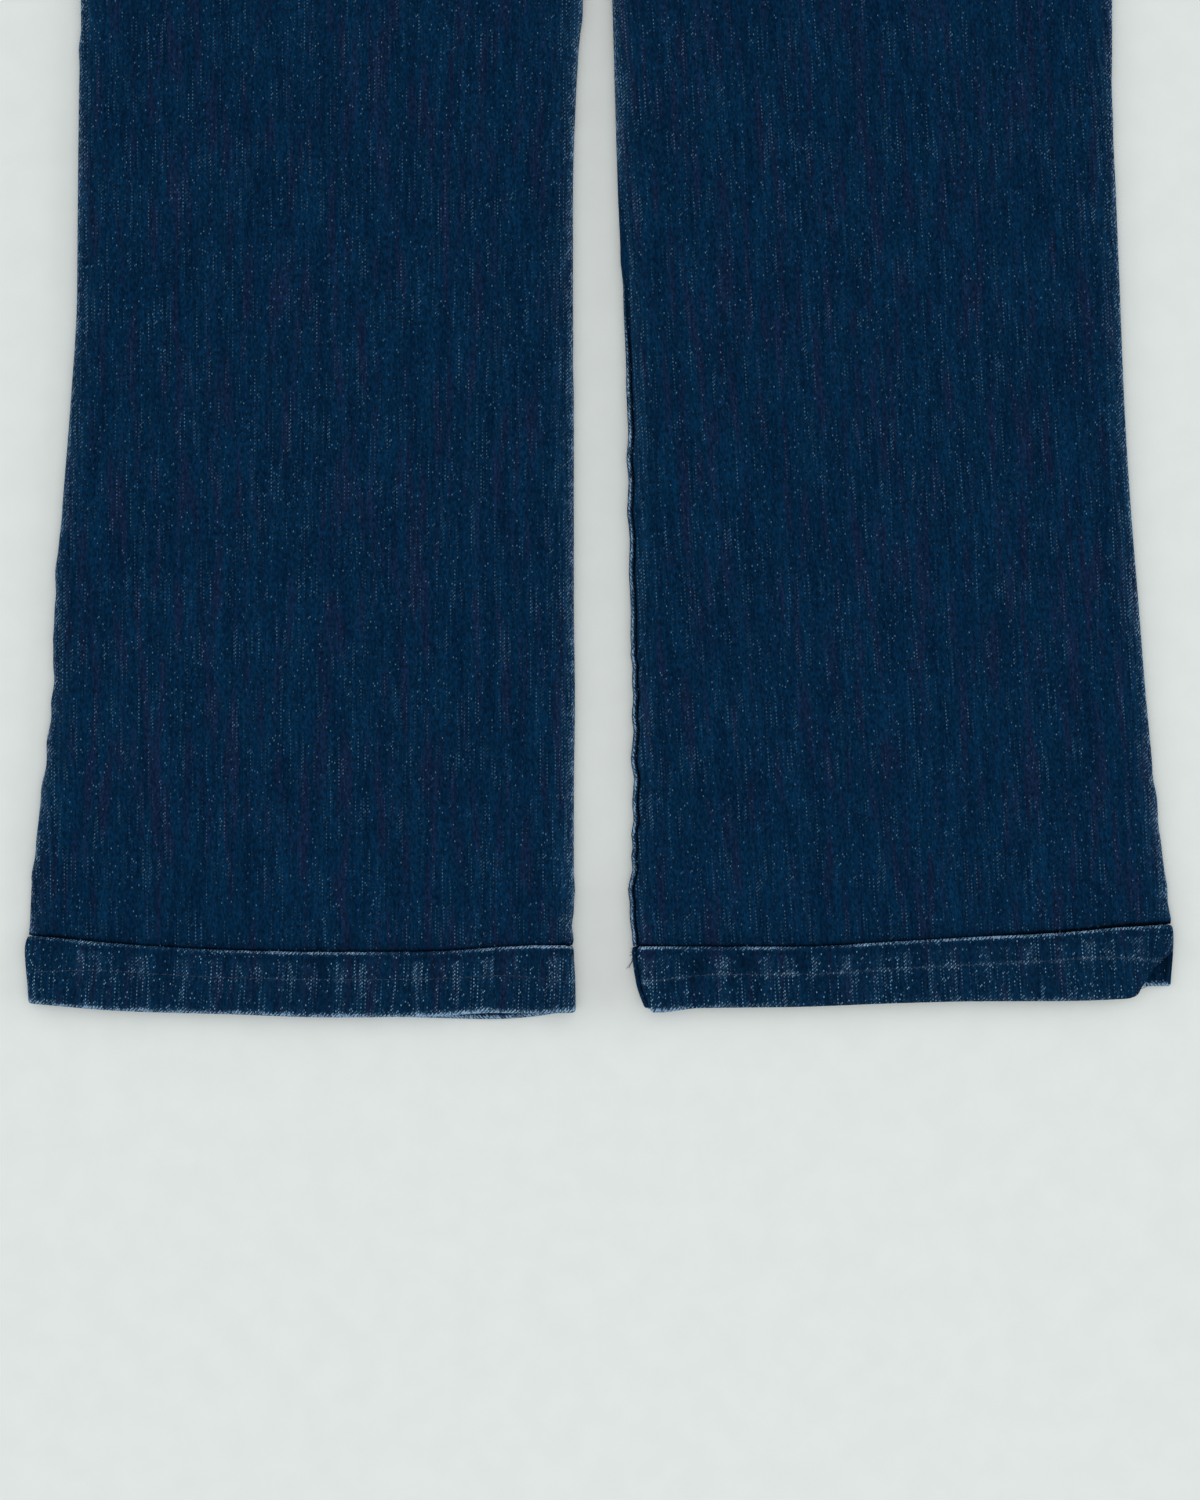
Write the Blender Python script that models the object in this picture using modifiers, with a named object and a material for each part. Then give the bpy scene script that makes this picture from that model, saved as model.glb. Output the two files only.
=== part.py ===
"""Bootcut jeans laid flat, front up, as the pieces a maker cuts and sews.

Metres, +Z up. X runs across the two legs, Y from the hems to the waist, and the
jeans rest on Z = 0. Right and left are the wearer's, so the right leg is at -X.
Heights along the legs are measured up from the hem line and called up.

Each leg is a flattened tube of a front layer on a back layer. A piece of cloth is
an open grid on the outer face of its layer, and Solidify gives it its wall.
"""

import bisect
import math
from collections import namedtuple

import bmesh
import bpy

# Cloth
CLOTH = 0.0012
DOUBLED_CLOTH = 0.0022
SEAM_GAP = 0.0003

# Lengths up the garment
HEM_TO_ORIGIN = 0.530
CROTCH = 0.800
CROTCH_BLEND = 0.018
FLY_BOTTOM = 0.868
FLY_RISE = 0.016
SCOOP_BOTTOM = 0.905
WAIST_SEAM_MIDDLE_FRONT = 0.980
WAIST_SEAM_SIDE = 1.002
WAIST_SEAM_MIDDLE_BACK = 1.024
WAIST_SEAM_CURVE = 1.8
WAISTBAND_WIDTH = 0.038
YOKE_SIDE = 0.035
YOKE_MIDDLE = 0.066

# Widths across the garment
WAIST_HALF = 0.216
SCOOP_MOUTH = 0.115
FLY_LAP = 0.004
FLY_UNDERLAP = 0.012
FLY_LIFT_FULL = 0.018
FLY_LIFT_END = 0.050
BAND_UNDERLAP = 0.030
BAND_LIFT_FULL = 0.036
BAND_LIFT_END = 0.070
TUCK_UNDER = 0.012

# Heights off the ground of the layers' outer faces
LEG_HEIGHT = 0.0046
SEAT_HEIGHT = 0.0074
WAISTBAND_HEIGHT = 0.0080
SEAT_LIFT = CLOTH + SEAM_GAP
SEAT_START = 0.725
SEAT_FULL = 0.778
LEG_SEAM_HEIGHT = 0.0025
SEAT_SEAM_HEIGHT = 0.0037
HEM_BAND_SEAM_HEIGHT = 0.0031
WAISTBAND_SEAM_HEIGHT = 0.0046
HEM_EDGE_RIDGE = 0.0008
EDGE_RIDGE_WIDTH = 0.010
EDGE_RIDGE_FROM = 0.040
EDGE_RIDGE_TO = 0.080
HEM_GROOVE = 0.0012
HEM_GROOVE_WIDTH = 0.005
HEM_RIDGE_HEIGHT = 0.0066
HEM_EDGE_HEIGHT = 0.0058
HEM_DIP = 0.0006
HEM_DIP_SHARE = 0.06
SIDE_PINCH = 0.0010
SIDE_PINCH_WIDTH = 0.0025

# How far each leg's front stands up along its side edges, over the seam allowances inside
EDGE_RIDGES = {"right_outer": 0.0018, "right_inner": 0.0022, "left_inner": 0.0022, "left_outer": 0.0002}

# Rolled edges, where a layer turns over to meet the other
LEG_ROLL = 0.00275
BAND_ROLL = 0.0032
ROLL_SHARE = 0.10
RISER = 0.0004
RISER_PART = 0.08
TOP_SEAM_GAP = 0.0006
SEAM_AT_SIDE = math.radians(90)
SEAM_ON_TOP = math.radians(158)
SEAM_TURN_START = 0.270
SEAM_TURN_END = 0.400

# Small pieces
POCKET_WIDTH_TOP = 0.138
POCKET_WIDTH_FOOT = 0.118
POCKET_LENGTH = 0.126
POCKET_POINT = 0.020
POCKET_TOP = 0.932
POCKET_MIDDLE = 0.112
LOOP_WIDTH = 0.012
LOOP_BELOW = 0.009
LOOP_ABOVE = 0.0008
LOOP_ARCH = 0.0012
LOOP_FRONT = 0.078
LOOP_BACK = 0.118
LOOP_STEPS = 8
BUTTON_X = 0.013
BUTTON_RADIUS = 0.0085
BUTTON_RIM = 0.0011
BUTTON_DISH_INSET = 2.2 * BUTTON_RIM
BUTTON_HEIGHT = 0.0032
BUTTON_UNDER_RADIUS = 0.0066
BUTTON_SHANK_RADIUS = 0.0053
BUTTON_STEPS = 20
BUTTON_RIM_ANGLES = (150, 120, 90, 60, 30, 0, -30)
SAME_POINT = 0.00001

Leg = namedtuple("Leg", "name side")
RIGHT = Leg("right", -1)
LEFT = Leg("left", 1)
LEGS = (RIGHT, LEFT)

# Finishes
INDIGO = (0.0030, 0.0175, 0.0467)
WORN_INDIGO = (0.0056, 0.0232, 0.0545)
BRASS = (0.42, 0.30, 0.16)
Finish = namedtuple("Finish", "name colour roughness metallic")
LEG_DENIM = Finish("indigo denim", INDIGO, 0.85, 0.0)
BAND_DENIM = Finish("worn indigo denim", WORN_INDIGO, 0.85, 0.0)
BUTTON_METAL = Finish("aged brass", BRASS, 0.38, 1.0)

# The legs' side edges, from the hems to the waist
Outline = namedtuple("Outline", "up right_outer right_inner left_inner left_outer")
OUTLINE = (
    Outline(-0.006, -0.2560, -0.0104, 0.0236, 0.2564),
    Outline(0.012, -0.2572, -0.0106, 0.0167, 0.2572),
    Outline(0.027, -0.2583, -0.0113, 0.0147, 0.2583),
    Outline(0.050, -0.2556, -0.0113, 0.0140, 0.2560),
    Outline(0.095, -0.2511, -0.0113, 0.0153, 0.2507),
    Outline(0.140, -0.2462, -0.0108, 0.0149, 0.2462),
    Outline(0.185, -0.2448, -0.0113, 0.0140, 0.2426),
    Outline(0.230, -0.2412, -0.0113, 0.0130, 0.2390),
    Outline(0.275, -0.2376, -0.0113, 0.0126, 0.2363),
    Outline(0.320, -0.2349, -0.0117, 0.0108, 0.2345),
    Outline(0.365, -0.2345, -0.0117, 0.0086, 0.2327),
    Outline(0.410, -0.2340, -0.0104, 0.0072, 0.2309),
    Outline(0.455, -0.2331, -0.0072, 0.0059, 0.2309),
    Outline(0.520, -0.2330, -0.0036, 0.0032, 0.2310),
    Outline(0.600, -0.2345, -0.0012, 0.0012, 0.2330),
    Outline(0.700, -0.2385, -0.0010, 0.0010, 0.2378),
    Outline(0.782, -0.2430, -0.0010, 0.0010, 0.2428),
    Outline(0.804, -0.2445, -0.0002, 0.0002, 0.2445),
    Outline(0.875, -0.2500, -0.0002, 0.0002, 0.2500),
    Outline(0.935, -0.2440, -0.0002, 0.0002, 0.2440),
    Outline(0.970, -0.2310, -0.0002, 0.0002, 0.2310),
    Outline(1.002, -0.2195, -0.0002, 0.0002, 0.2195),
    Outline(1.062, -0.2085, -0.0002, 0.0002, 0.2085),
)

# Heights of the seam over each hem band and of the band's two lower edges
Hem = namedtuple("Hem", "x seam front back")
HEM = {
    RIGHT: (
        Hem(-0.2583, 0.0339, 0.0032, 0.0040),
        Hem(-0.2110, 0.0295, -0.0005, 0.0005),
        Hem(-0.1660, 0.0270, -0.0018, -0.0008),
        Hem(-0.1210, 0.0261, -0.0032, -0.0022),
        Hem(-0.0765, 0.0263, -0.0028, -0.0036),
        Hem(-0.0480, 0.0281, -0.0012, -0.0042),
        Hem(-0.0310, 0.0290, -0.0014, -0.0032),
        Hem(-0.0110, 0.0293, -0.0009, -0.0001),
    ),
    LEFT: (
        Hem(0.0146, 0.0288, -0.0008, 0.0000),
        Hem(0.0275, 0.0287, -0.0008, 0.0010),
        Hem(0.0455, 0.0285, 0.0009, 0.0020),
        Hem(0.0860, 0.0285, 0.0014, 0.0030),
        Hem(0.1355, 0.0310, 0.0032, 0.0045),
        Hem(0.1700, 0.0329, 0.0040, 0.0060),
        Hem(0.2045, 0.0346, 0.0041, 0.0085),
        Hem(0.2390, 0.0376, 0.0063, 0.0105),
        Hem(0.2465, 0.0381, 0.0130, 0.0108),
        Hem(0.2560, 0.0387, 0.0252, 0.0108),
    ),
}

# Soft folds in the fronts: middle, half length, half width, turn from X, rise or fall
Fold = namedtuple("Fold", "x up length width turn rise")
FOLDS = (
    Fold(-0.156, 0.045, 0.060, 0.010, 3, -0.0004),
    Fold(0.145, 0.432, 0.095, 0.016, -4, -0.0006),
    Fold(0.135, 0.270, 0.110, 0.018, 72, 0.0004),
    Fold(0.060, 0.210, 0.120, 0.016, 86, -0.0004),
    Fold(-0.120, 0.330, 0.130, 0.024, 83, 0.0003),
    Fold(-0.070, 0.560, 0.100, 0.018, 62, -0.0005),
    Fold(0.078, 0.585, 0.090, 0.018, 112, -0.0005),
    Fold(-0.062, 0.776, 0.062, 0.013, 22, -0.0006),
    Fold(-0.050, 0.744, 0.050, 0.014, 34, 0.0004),
    Fold(0.066, 0.782, 0.068, 0.014, 156, -0.0006),
    Fold(0.048, 0.748, 0.048, 0.013, 148, 0.0004),
)

# Across shares of the grid columns between the two rolls, and rows as true heights
FRONT_COLUMNS = (0.10, 0.18, 0.28, 0.38, 0.462, 0.470, 0.50, 0.57, 0.67, 0.78, 0.85, 0.875, 0.90)
BACK_COLUMNS = (0.10, 0.25, 0.45, 0.60, 0.75, 0.90)
ROLL_STEPS = (0.0, RISER_PART, 0.38, 0.69)
LOWEST_ROW = 0.030
STRAIGHT_FROM = 0.060
STRAIGHT_TO = 0.872
HIGHEST_ROW = 0.990
PANEL_ROWS = (
    0.030, 0.033, 0.037, 0.043, 0.060, 0.090, 0.120, 0.150, 0.180, 0.210, 0.240, 0.270, 0.300, 0.330,
    0.360, 0.400, 0.440, 0.480, 0.530, 0.580, 0.640, 0.700, 0.725, 0.755, 0.780, 0.788, 0.796, 0.806,
    0.830, 0.852, 0.860, 0.866, 0.8685, 0.872, 0.900, 0.940, 0.990,
)  # fmt: skip
BAND_ROWS = (0.0, 0.12, 0.45, 0.80, 1.0)
SHORT_ROWS = (0.0, 0.5, 1.0)
SIDE_PANEL_ROWS = (0.0, 0.2, 0.5, 1.0)
SIDE_PANEL_FROM = 0.40
POCKET_COLUMNS = (-1.0, -0.5, 0.0, 0.5, 1.0)
MOUTH_LEVEL = 0.950
MEETING_ROUNDS = 5


def lerp(low, high, share):
    return low + (high - low) * share


def ramp(value, start, end):
    """0 before start, 1 after end, and a smooth rise between."""
    share = min(1.0, max(0.0, (value - start) / (end - start)))
    return share * share * (3 - 2 * share)


def bump(distance, width):
    return math.exp(-((distance / width) ** 2))


def table_value(rows, knot, column, at):
    """A smooth curve through a table's column that never overshoots its points."""
    knots = [getattr(row, knot) for row in rows]
    values = [getattr(row, column) for row in rows]
    if at <= knots[0]:
        return values[0]
    if at >= knots[-1]:
        return values[-1]
    slopes = [(values[i + 1] - values[i]) / (knots[i + 1] - knots[i]) for i in range(len(rows) - 1)]

    def tangent(i):
        if i == 0 or i == len(slopes):
            return slopes[min(i, len(slopes) - 1)]
        before, after = slopes[i - 1], slopes[i]
        return 2 * before * after / (before + after) if before * after > 0 else 0.0

    i = bisect.bisect_right(knots, at) - 1
    width = knots[i + 1] - knots[i]
    t = (at - knots[i]) / width
    start = values[i] * (1 + 2 * t) * (1 - t) ** 2 + tangent(i) * width * t * (1 - t) ** 2
    end = values[i + 1] * t * t * (3 - 2 * t) - tangent(i + 1) * width * t * t * (1 - t)
    return start + end


# Outlines in plan


def hem_value(leg, column, x):
    return table_value(HEM[leg], "x", column, x)


def hem_seam(leg):
    return lambda x: hem_value(leg, "seam", x)


def edge(leg, which, up):
    """X of a leg's inner or outer edge, drawn in a little where the hem band is sewn on."""
    x = table_value(OUTLINE, "up", leg.name + "_" + which, up)
    outwards = leg.side if which == "outer" else -leg.side
    return x - outwards * SIDE_PINCH * bump(up - hem_value(leg, "seam", x), SIDE_PINCH_WIDTH)


def front_waist_seam(x):
    share = min(1.0, abs(x) / WAIST_HALF) ** WAIST_SEAM_CURVE
    return lerp(WAIST_SEAM_MIDDLE_FRONT, WAIST_SEAM_SIDE, share)


def back_waist_seam(x):
    share = min(1.0, abs(x) / WAIST_HALF) ** WAIST_SEAM_CURVE
    return lerp(WAIST_SEAM_MIDDLE_BACK, WAIST_SEAM_SIDE, share)


def yoke_seam(x):
    side = WAIST_SEAM_SIDE - YOKE_SIDE
    middle = WAIST_SEAM_MIDDLE_BACK - YOKE_MIDDLE
    return lerp(middle, side, min(1.0, abs(x) / WAIST_HALF))


def scoop(x):
    """The front pocket's mouth, a quarter of an ellipse from the waist seam to the side seam."""
    wide = table_value(OUTLINE, "up", "left_outer", SCOOP_BOTTOM) - SCOOP_MOUTH
    share = min(1.0, max(0.0, (SCOOP_MOUTH + wide - abs(x)) / wide))
    return lerp(SCOOP_BOTTOM, front_waist_seam(SCOOP_MOUTH), 1 - math.sqrt(1 - share * share))


# Heights off the ground


def fold_height(x, up):
    height = 0.0
    for fold in FOLDS:
        turn = math.radians(fold.turn)
        along = (x - fold.x) * math.cos(turn) + (up - fold.up) * math.sin(turn)
        aside = (up - fold.up) * math.cos(turn) - (x - fold.x) * math.sin(turn)
        height += fold.rise * bump(along, fold.length) * bump(aside, fold.width)
    return height


def seat(up):
    return ramp(up, SEAT_START, SEAT_FULL)


def panel_seam_height(up):
    return lerp(LEG_SEAM_HEIGHT, SEAT_SEAM_HEIGHT, seat(up))


def hem_band_seam_height(up):
    return HEM_BAND_SEAM_HEIGHT


def waistband_seam_height(up):
    return WAISTBAND_SEAM_HEIGHT


def back_face(leg, x, up):
    return lerp(0.0, SEAT_LIFT, seat(up))


def edge_ridge(leg, which, up):
    """How far a leg's front stands up along a side edge, which is lower down at the hem."""
    return lerp(HEM_EDGE_RIDGE, EDGE_RIDGES[leg.name + "_" + which], ramp(up, EDGE_RIDGE_FROM, EDGE_RIDGE_TO))


def front_face(leg, x, up):
    """The top of the front layer, which sinks into the hem seam and rises over the fly."""
    aside = abs(x - edge(leg, "outer", up))
    inner = abs(x - edge(leg, "inner", up))
    ridge = edge_ridge(leg, "outer", up) * bump(aside, EDGE_RIDGE_WIDTH)
    ridge += edge_ridge(leg, "inner", up) * bump(inner, EDGE_RIDGE_WIDTH)
    height = lerp(LEG_HEIGHT + ridge, SEAT_HEIGHT, seat(up))
    groove = HEM_GROOVE * bump(up - hem_value(leg, "seam", x), HEM_GROOVE_WIDTH)
    away_from_edges = ramp(min(aside, inner + seat(up)), 0.0, EDGE_RIDGE_WIDTH)
    height += (fold_height(x, up) - groove) * away_from_edges
    if leg is LEFT:
        rise = ramp(up, FLY_BOTTOM - 2 * FLY_RISE, FLY_BOTTOM - FLY_RISE / 4)
        height += SEAT_LIFT * rise * (1 - ramp(x, FLY_LIFT_FULL, FLY_LIFT_END))
    return height


def side_panel_face(leg, x, up):
    return SEAT_HEIGHT - SEAT_LIFT


def band_face(leg, x, up):
    """The top of a hem band, highest just under its seam."""
    below = (hem_value(leg, "seam", x) - up) / (HEM[leg][0].seam - HEM[leg][0].front)
    height = lerp(HEM_RIDGE_HEIGHT, HEM_EDGE_HEIGHT, min(1.0, max(0.0, below)))
    return height - HEM_DIP * bump(below, HEM_DIP_SHARE)


def waistband_face(leg, x, up):
    height = WAISTBAND_HEIGHT
    if leg is LEFT:
        height += (DOUBLED_CLOTH + SEAM_GAP) * (1 - ramp(x, BAND_LIFT_FULL, BAND_LIFT_END))
    return height


# A point on the outer face of a layer

Layer = namedtuple("Layer", "name face roll seam_height")


def seam_angle(leg, which, up):
    """Where a rolled edge's seam lies, from 0 under the leg to 180 degrees on top of it."""
    if leg is LEFT and which == "inner":
        return lerp(SEAM_ON_TOP, SEAM_AT_SIDE, ramp(up, SEAM_TURN_START, SEAM_TURN_END))
    return SEAM_AT_SIDE


def rolled(leg, layer, which, part, up):
    """A point of a rolled edge, from the seam at part 0 to the flat cloth at part 1.

    A seam at the side has a short upright riser, so that the two walls meet squarely.
    """
    x_edge = edge(leg, which, up)
    inwards = -leg.side if which == "outer" else leg.side
    seam = seam_angle(leg, which, up)
    upright = (SEAM_ON_TOP - seam) / (SEAM_ON_TOP - SEAM_AT_SIDE)
    after_riser = max(0.0, (part - RISER_PART) / (1 - RISER_PART))
    turned = lerp(part, after_riser, upright)
    side = 1 if layer.name == "front" else -1
    gap_angle = TOP_SEAM_GAP / 2 / layer.roll * (1 - upright)
    angle = lerp(seam + side * gap_angle, math.pi if side > 0 else 0.0, turned)
    x = x_edge + inwards * layer.roll * (1 - math.sin(angle))
    flat = layer.face(leg, x_edge + inwards * layer.roll, up)
    middle = layer.seam_height(up)
    riser = upright * (SEAM_GAP / 2 + RISER * min(1.0, part / RISER_PART))
    height = abs(flat - middle) - upright * (SEAM_GAP / 2 + RISER)
    if side < 0 and angle > SEAM_AT_SIDE:
        height = FRONT.face(leg, x_edge + inwards * layer.roll, up) - middle
    z = middle + side * riser - height * math.cos(angle)
    if which == "inner":
        opened = ramp(up, CROTCH - CROTCH_BLEND, CROTCH)
        x = lerp(x, x_edge + inwards * layer.roll * part, opened)
        z = lerp(z, flat, opened)
    return x, z


def lapped_edge(leg, layer, up):
    """How far a front piece runs past the middle, where one side laps the other at the fly."""
    if layer.name == "back" or up < FLY_BOTTOM:
        return 0.0
    underlap = BAND_UNDERLAP if layer.face is waistband_face else FLY_UNDERLAP
    return FLY_LAP if leg is LEFT else underlap


def place(leg, layer, across, up):
    """X and Z at a share of the way across a leg, from its inner edge to its outer one."""
    if across > 1 - ROLL_SHARE:
        return rolled(leg, layer, "outer", (1 - across) / ROLL_SHARE, up)
    lap = lapped_edge(leg, layer, up)
    if across < ROLL_SHARE and lap == 0:
        return rolled(leg, layer, "inner", across / ROLL_SHARE, up)
    if lap:
        start = edge(leg, "inner", up) - leg.side * lap
        share = across / (1 - ROLL_SHARE)
    else:
        start = edge(leg, "inner", up) + leg.side * layer.roll
        share = (across - ROLL_SHARE) / (1 - 2 * ROLL_SHARE)
    x = lerp(start, edge(leg, "outer", up) - leg.side * layer.roll, share)
    return x, layer.face(leg, x, up)


def meet(leg, layer, across, line, up):
    """The height at which a column of a leg meets a line drawn in plan, starting near up."""
    for _ in range(MEETING_ROUNDS):
        up = line(place(leg, layer, across, up)[0])
    return up


FRONT = Layer("front", front_face, LEG_ROLL, panel_seam_height)
BACK = Layer("back", back_face, LEG_ROLL, panel_seam_height)
SIDE_PANEL = Layer("front", side_panel_face, LEG_ROLL, panel_seam_height)
BAND_FRONT = Layer("front", band_face, BAND_ROLL, hem_band_seam_height)
BAND_BACK = Layer("back", back_face, BAND_ROLL, hem_band_seam_height)
WAISTBAND_FRONT = Layer("front", waistband_face, BAND_ROLL, waistband_seam_height)
WAISTBAND_BACK = Layer("back", back_face, BAND_ROLL, waistband_seam_height)


# Making the pieces


def make_material(finish):
    material = bpy.data.materials.new(finish.name)
    material.use_nodes = True
    shader = material.node_tree.nodes["Principled BSDF"]
    shader.inputs["Base Color"].default_value = (*finish.colour, 1.0)
    shader.inputs["Roughness"].default_value = finish.roughness
    shader.inputs["Metallic"].default_value = finish.metallic
    return material


def with_rolls(columns):
    """Grid columns with the steps of the two rolled edges on either side."""
    steps = [ROLL_SHARE * step for step in ROLL_STEPS]
    return [*steps, *columns, *[1 - step for step in reversed(steps)]]


def cloth(name, columns, rows, point, wall, material, collection):
    """A sheet of cloth: a grid whose corners go to point(column, row), with its wall inside."""
    bm = bmesh.new()
    across, along = len(columns) - 1, len(rows) - 1
    bmesh.ops.create_grid(bm, x_segments=across, y_segments=along, size=0.5)
    for vert in bm.verts:
        column = columns[round((vert.co.x + 0.5) * across)]
        row = rows[round((vert.co.y + 0.5) * along)]
        vert.co = point(column, row)
    mesh = bpy.data.meshes.new(name)
    bm.to_mesh(mesh)
    bm.free()
    mesh.shade_smooth()
    piece = bpy.data.objects.new(name, mesh)
    piece.data.materials.append(material)
    collection.objects.link(piece)
    solidify = piece.modifiers.new("Cloth", "SOLIDIFY")
    solidify.thickness = wall
    solidify.offset = -1
    return piece


def face_outwards(piece, down):
    """Turns a sheet over if its faces point into the garment."""
    total = sum(polygon.normal.z * polygon.area for polygon in piece.data.polygons)
    if (total < 0) != down:
        piece.data.flip_normals()


def panel_up(row, low, high):
    """Rows between the straight levels are true heights; those beyond close on the seams."""
    if row < STRAIGHT_FROM:
        return lerp(low, STRAIGHT_FROM, (row - LOWEST_ROW) / (STRAIGHT_FROM - LOWEST_ROW))
    if row > STRAIGHT_TO:
        return lerp(STRAIGHT_TO, high, (row - STRAIGHT_TO) / (HIGHEST_ROW - STRAIGHT_TO))
    return row


def world(x, up, z):
    return x, up - HEM_TO_ORIGIN, z


def make_panel(leg, layer, material, collection):
    def point(across, row):
        low = meet(leg, layer, across, hem_seam(leg), LOWEST_ROW) + SEAM_GAP / 2
        if layer is FRONT:
            x = place(leg, layer, across, MOUTH_LEVEL)[0]
            high = min(scoop(x), meet(leg, layer, across, front_waist_seam, HIGHEST_ROW)) - SEAM_GAP / 2
        else:
            high = meet(leg, layer, across, yoke_seam, HIGHEST_ROW) - SEAM_GAP / 2
        up = panel_up(row, low, high)
        x, z = place(leg, layer, across, up)
        return world(x, up, z)

    columns = with_rolls(FRONT_COLUMNS if layer is FRONT else BACK_COLUMNS)
    piece = cloth(f"{layer.name}_{leg.name}", columns, PANEL_ROWS, point, CLOTH, material, collection)
    face_outwards(piece, layer is BACK)


def make_hem_band(leg, layer, material, collection):
    def point(across, row):
        high = meet(leg, layer, across, hem_seam(leg), LOWEST_ROW) - SEAM_GAP / 2
        hem_line = 0.0
        low = hem_value(leg, layer.name, place(leg, layer, across, hem_line)[0])
        up = lerp(low, high, row)
        x, z = place(leg, layer, across, up)
        return world(x, up, z)

    columns = with_rolls(FRONT_COLUMNS if layer is BAND_FRONT else BACK_COLUMNS)
    name = f"hem_band_{layer.name}_{leg.name}"
    piece = cloth(name, columns, BAND_ROWS, point, DOUBLED_CLOTH, material, collection)
    face_outwards(piece, layer is BAND_BACK)


def make_side_panel(leg, material, collection):
    """The hip piece that shows in the scoop, tucked under the front panel."""

    def point(across, row):
        x = place(leg, SIDE_PANEL, across, MOUTH_LEVEL)[0]
        tuck = TUCK_UNDER * ramp(1 - across, ROLL_SHARE, 2 * ROLL_SHARE)
        low = max(SCOOP_BOTTOM + SEAM_GAP / 2 - tuck, scoop(x) - TUCK_UNDER * 2)
        high = meet(leg, SIDE_PANEL, across, front_waist_seam, HIGHEST_ROW) - SEAM_GAP / 2
        up = lerp(low, high, row)
        x, z = place(leg, SIDE_PANEL, across, up)
        return world(x, up, z)

    columns = [column for column in with_rolls(FRONT_COLUMNS) if column >= SIDE_PANEL_FROM]
    name = f"pocket_side_panel_{leg.name}"
    piece = cloth(name, columns, SIDE_PANEL_ROWS, point, CLOTH, material, collection)
    face_outwards(piece, False)


def make_yoke(leg, material, collection):
    def point(across, row):
        low = meet(leg, BACK, across, yoke_seam, HIGHEST_ROW) + SEAM_GAP / 2
        high = meet(leg, BACK, across, back_waist_seam, HIGHEST_ROW) - SEAM_GAP / 2
        up = lerp(low, high, row)
        x, z = place(leg, BACK, across, up)
        return world(x, up, z)

    name = f"yoke_{leg.name}"
    piece = cloth(name, with_rolls(BACK_COLUMNS), SHORT_ROWS, point, CLOTH, material, collection)
    face_outwards(piece, True)


def make_waistband_front(leg, material, collection):
    def point(across, row):
        low = meet(leg, WAISTBAND_FRONT, across, front_waist_seam, HIGHEST_ROW) + SEAM_GAP
        up = low + WAISTBAND_WIDTH * row
        x, z = place(leg, WAISTBAND_FRONT, across, up)
        return world(x, up, z)

    name = f"waistband_front_{leg.name}"
    columns = with_rolls(FRONT_COLUMNS)
    piece = cloth(name, columns, SHORT_ROWS, point, DOUBLED_CLOTH, material, collection)
    face_outwards(piece, False)


def make_waistband_back(material, collection):
    """One strip from side to side. Columns run from -1 at the right side to 1 at the left."""

    def point(column, row):
        leg = RIGHT if column < 0 else LEFT
        across = abs(column)
        if across:
            low = meet(leg, WAISTBAND_BACK, across, back_waist_seam, HIGHEST_ROW)
        else:
            low = WAIST_SEAM_MIDDLE_BACK
        up = low + SEAM_GAP + WAISTBAND_WIDTH * row
        x, z = place(leg, WAISTBAND_BACK, across, up) if across else (0.0, SEAT_LIFT)
        return world(x, up, z)

    half = [column for column in with_rolls(BACK_COLUMNS) if column > ROLL_SHARE]
    columns = [-column for column in reversed(half)] + [0.0] + half
    piece = cloth("waistband_back", columns, SHORT_ROWS, point, DOUBLED_CLOTH, material, collection)
    face_outwards(piece, True)


def make_back_pocket(leg, material, collection):
    """A patch pocket under the back panel, with a pointed foot."""

    def point(column, row):
        width = lerp(POCKET_WIDTH_FOOT, POCKET_WIDTH_TOP, row)
        foot = POCKET_TOP - POCKET_LENGTH - POCKET_POINT * (1 - abs(column))
        x = leg.side * POCKET_MIDDLE + column * width / 2
        return world(x, lerp(foot, POCKET_TOP, row), 0.0)

    name = f"back_pocket_{leg.name}"
    piece = cloth(name, POCKET_COLUMNS, SHORT_ROWS, point, CLOTH, material, collection)
    face_outwards(piece, True)


def make_belt_loop(name, x, leg, layer, material, collection):
    """A strip across the waistband: over its face at the front, under it at the back."""
    seam = front_waist_seam if layer.name == "front" else back_waist_seam
    low = seam(x) - LOOP_BELOW
    high = seam(x) + WAISTBAND_WIDTH + LOOP_ABOVE

    def point(column, row):
        up = lerp(low, high, row)
        if layer.name == "back":
            return world(x + column * LOOP_WIDTH / 2, up, 0.0)
        arch = LOOP_ARCH * math.sin(math.pi * row)
        z = layer.face(leg, x, up) + SEAM_GAP + CLOTH + arch
        return world(x + column * LOOP_WIDTH / 2, up, z)

    rows = [i / LOOP_STEPS for i in range(LOOP_STEPS + 1)]
    piece = cloth(name, (-1.0, 1.0), rows, point, CLOTH, material, collection)
    face_outwards(piece, layer.name == "back")


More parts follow.
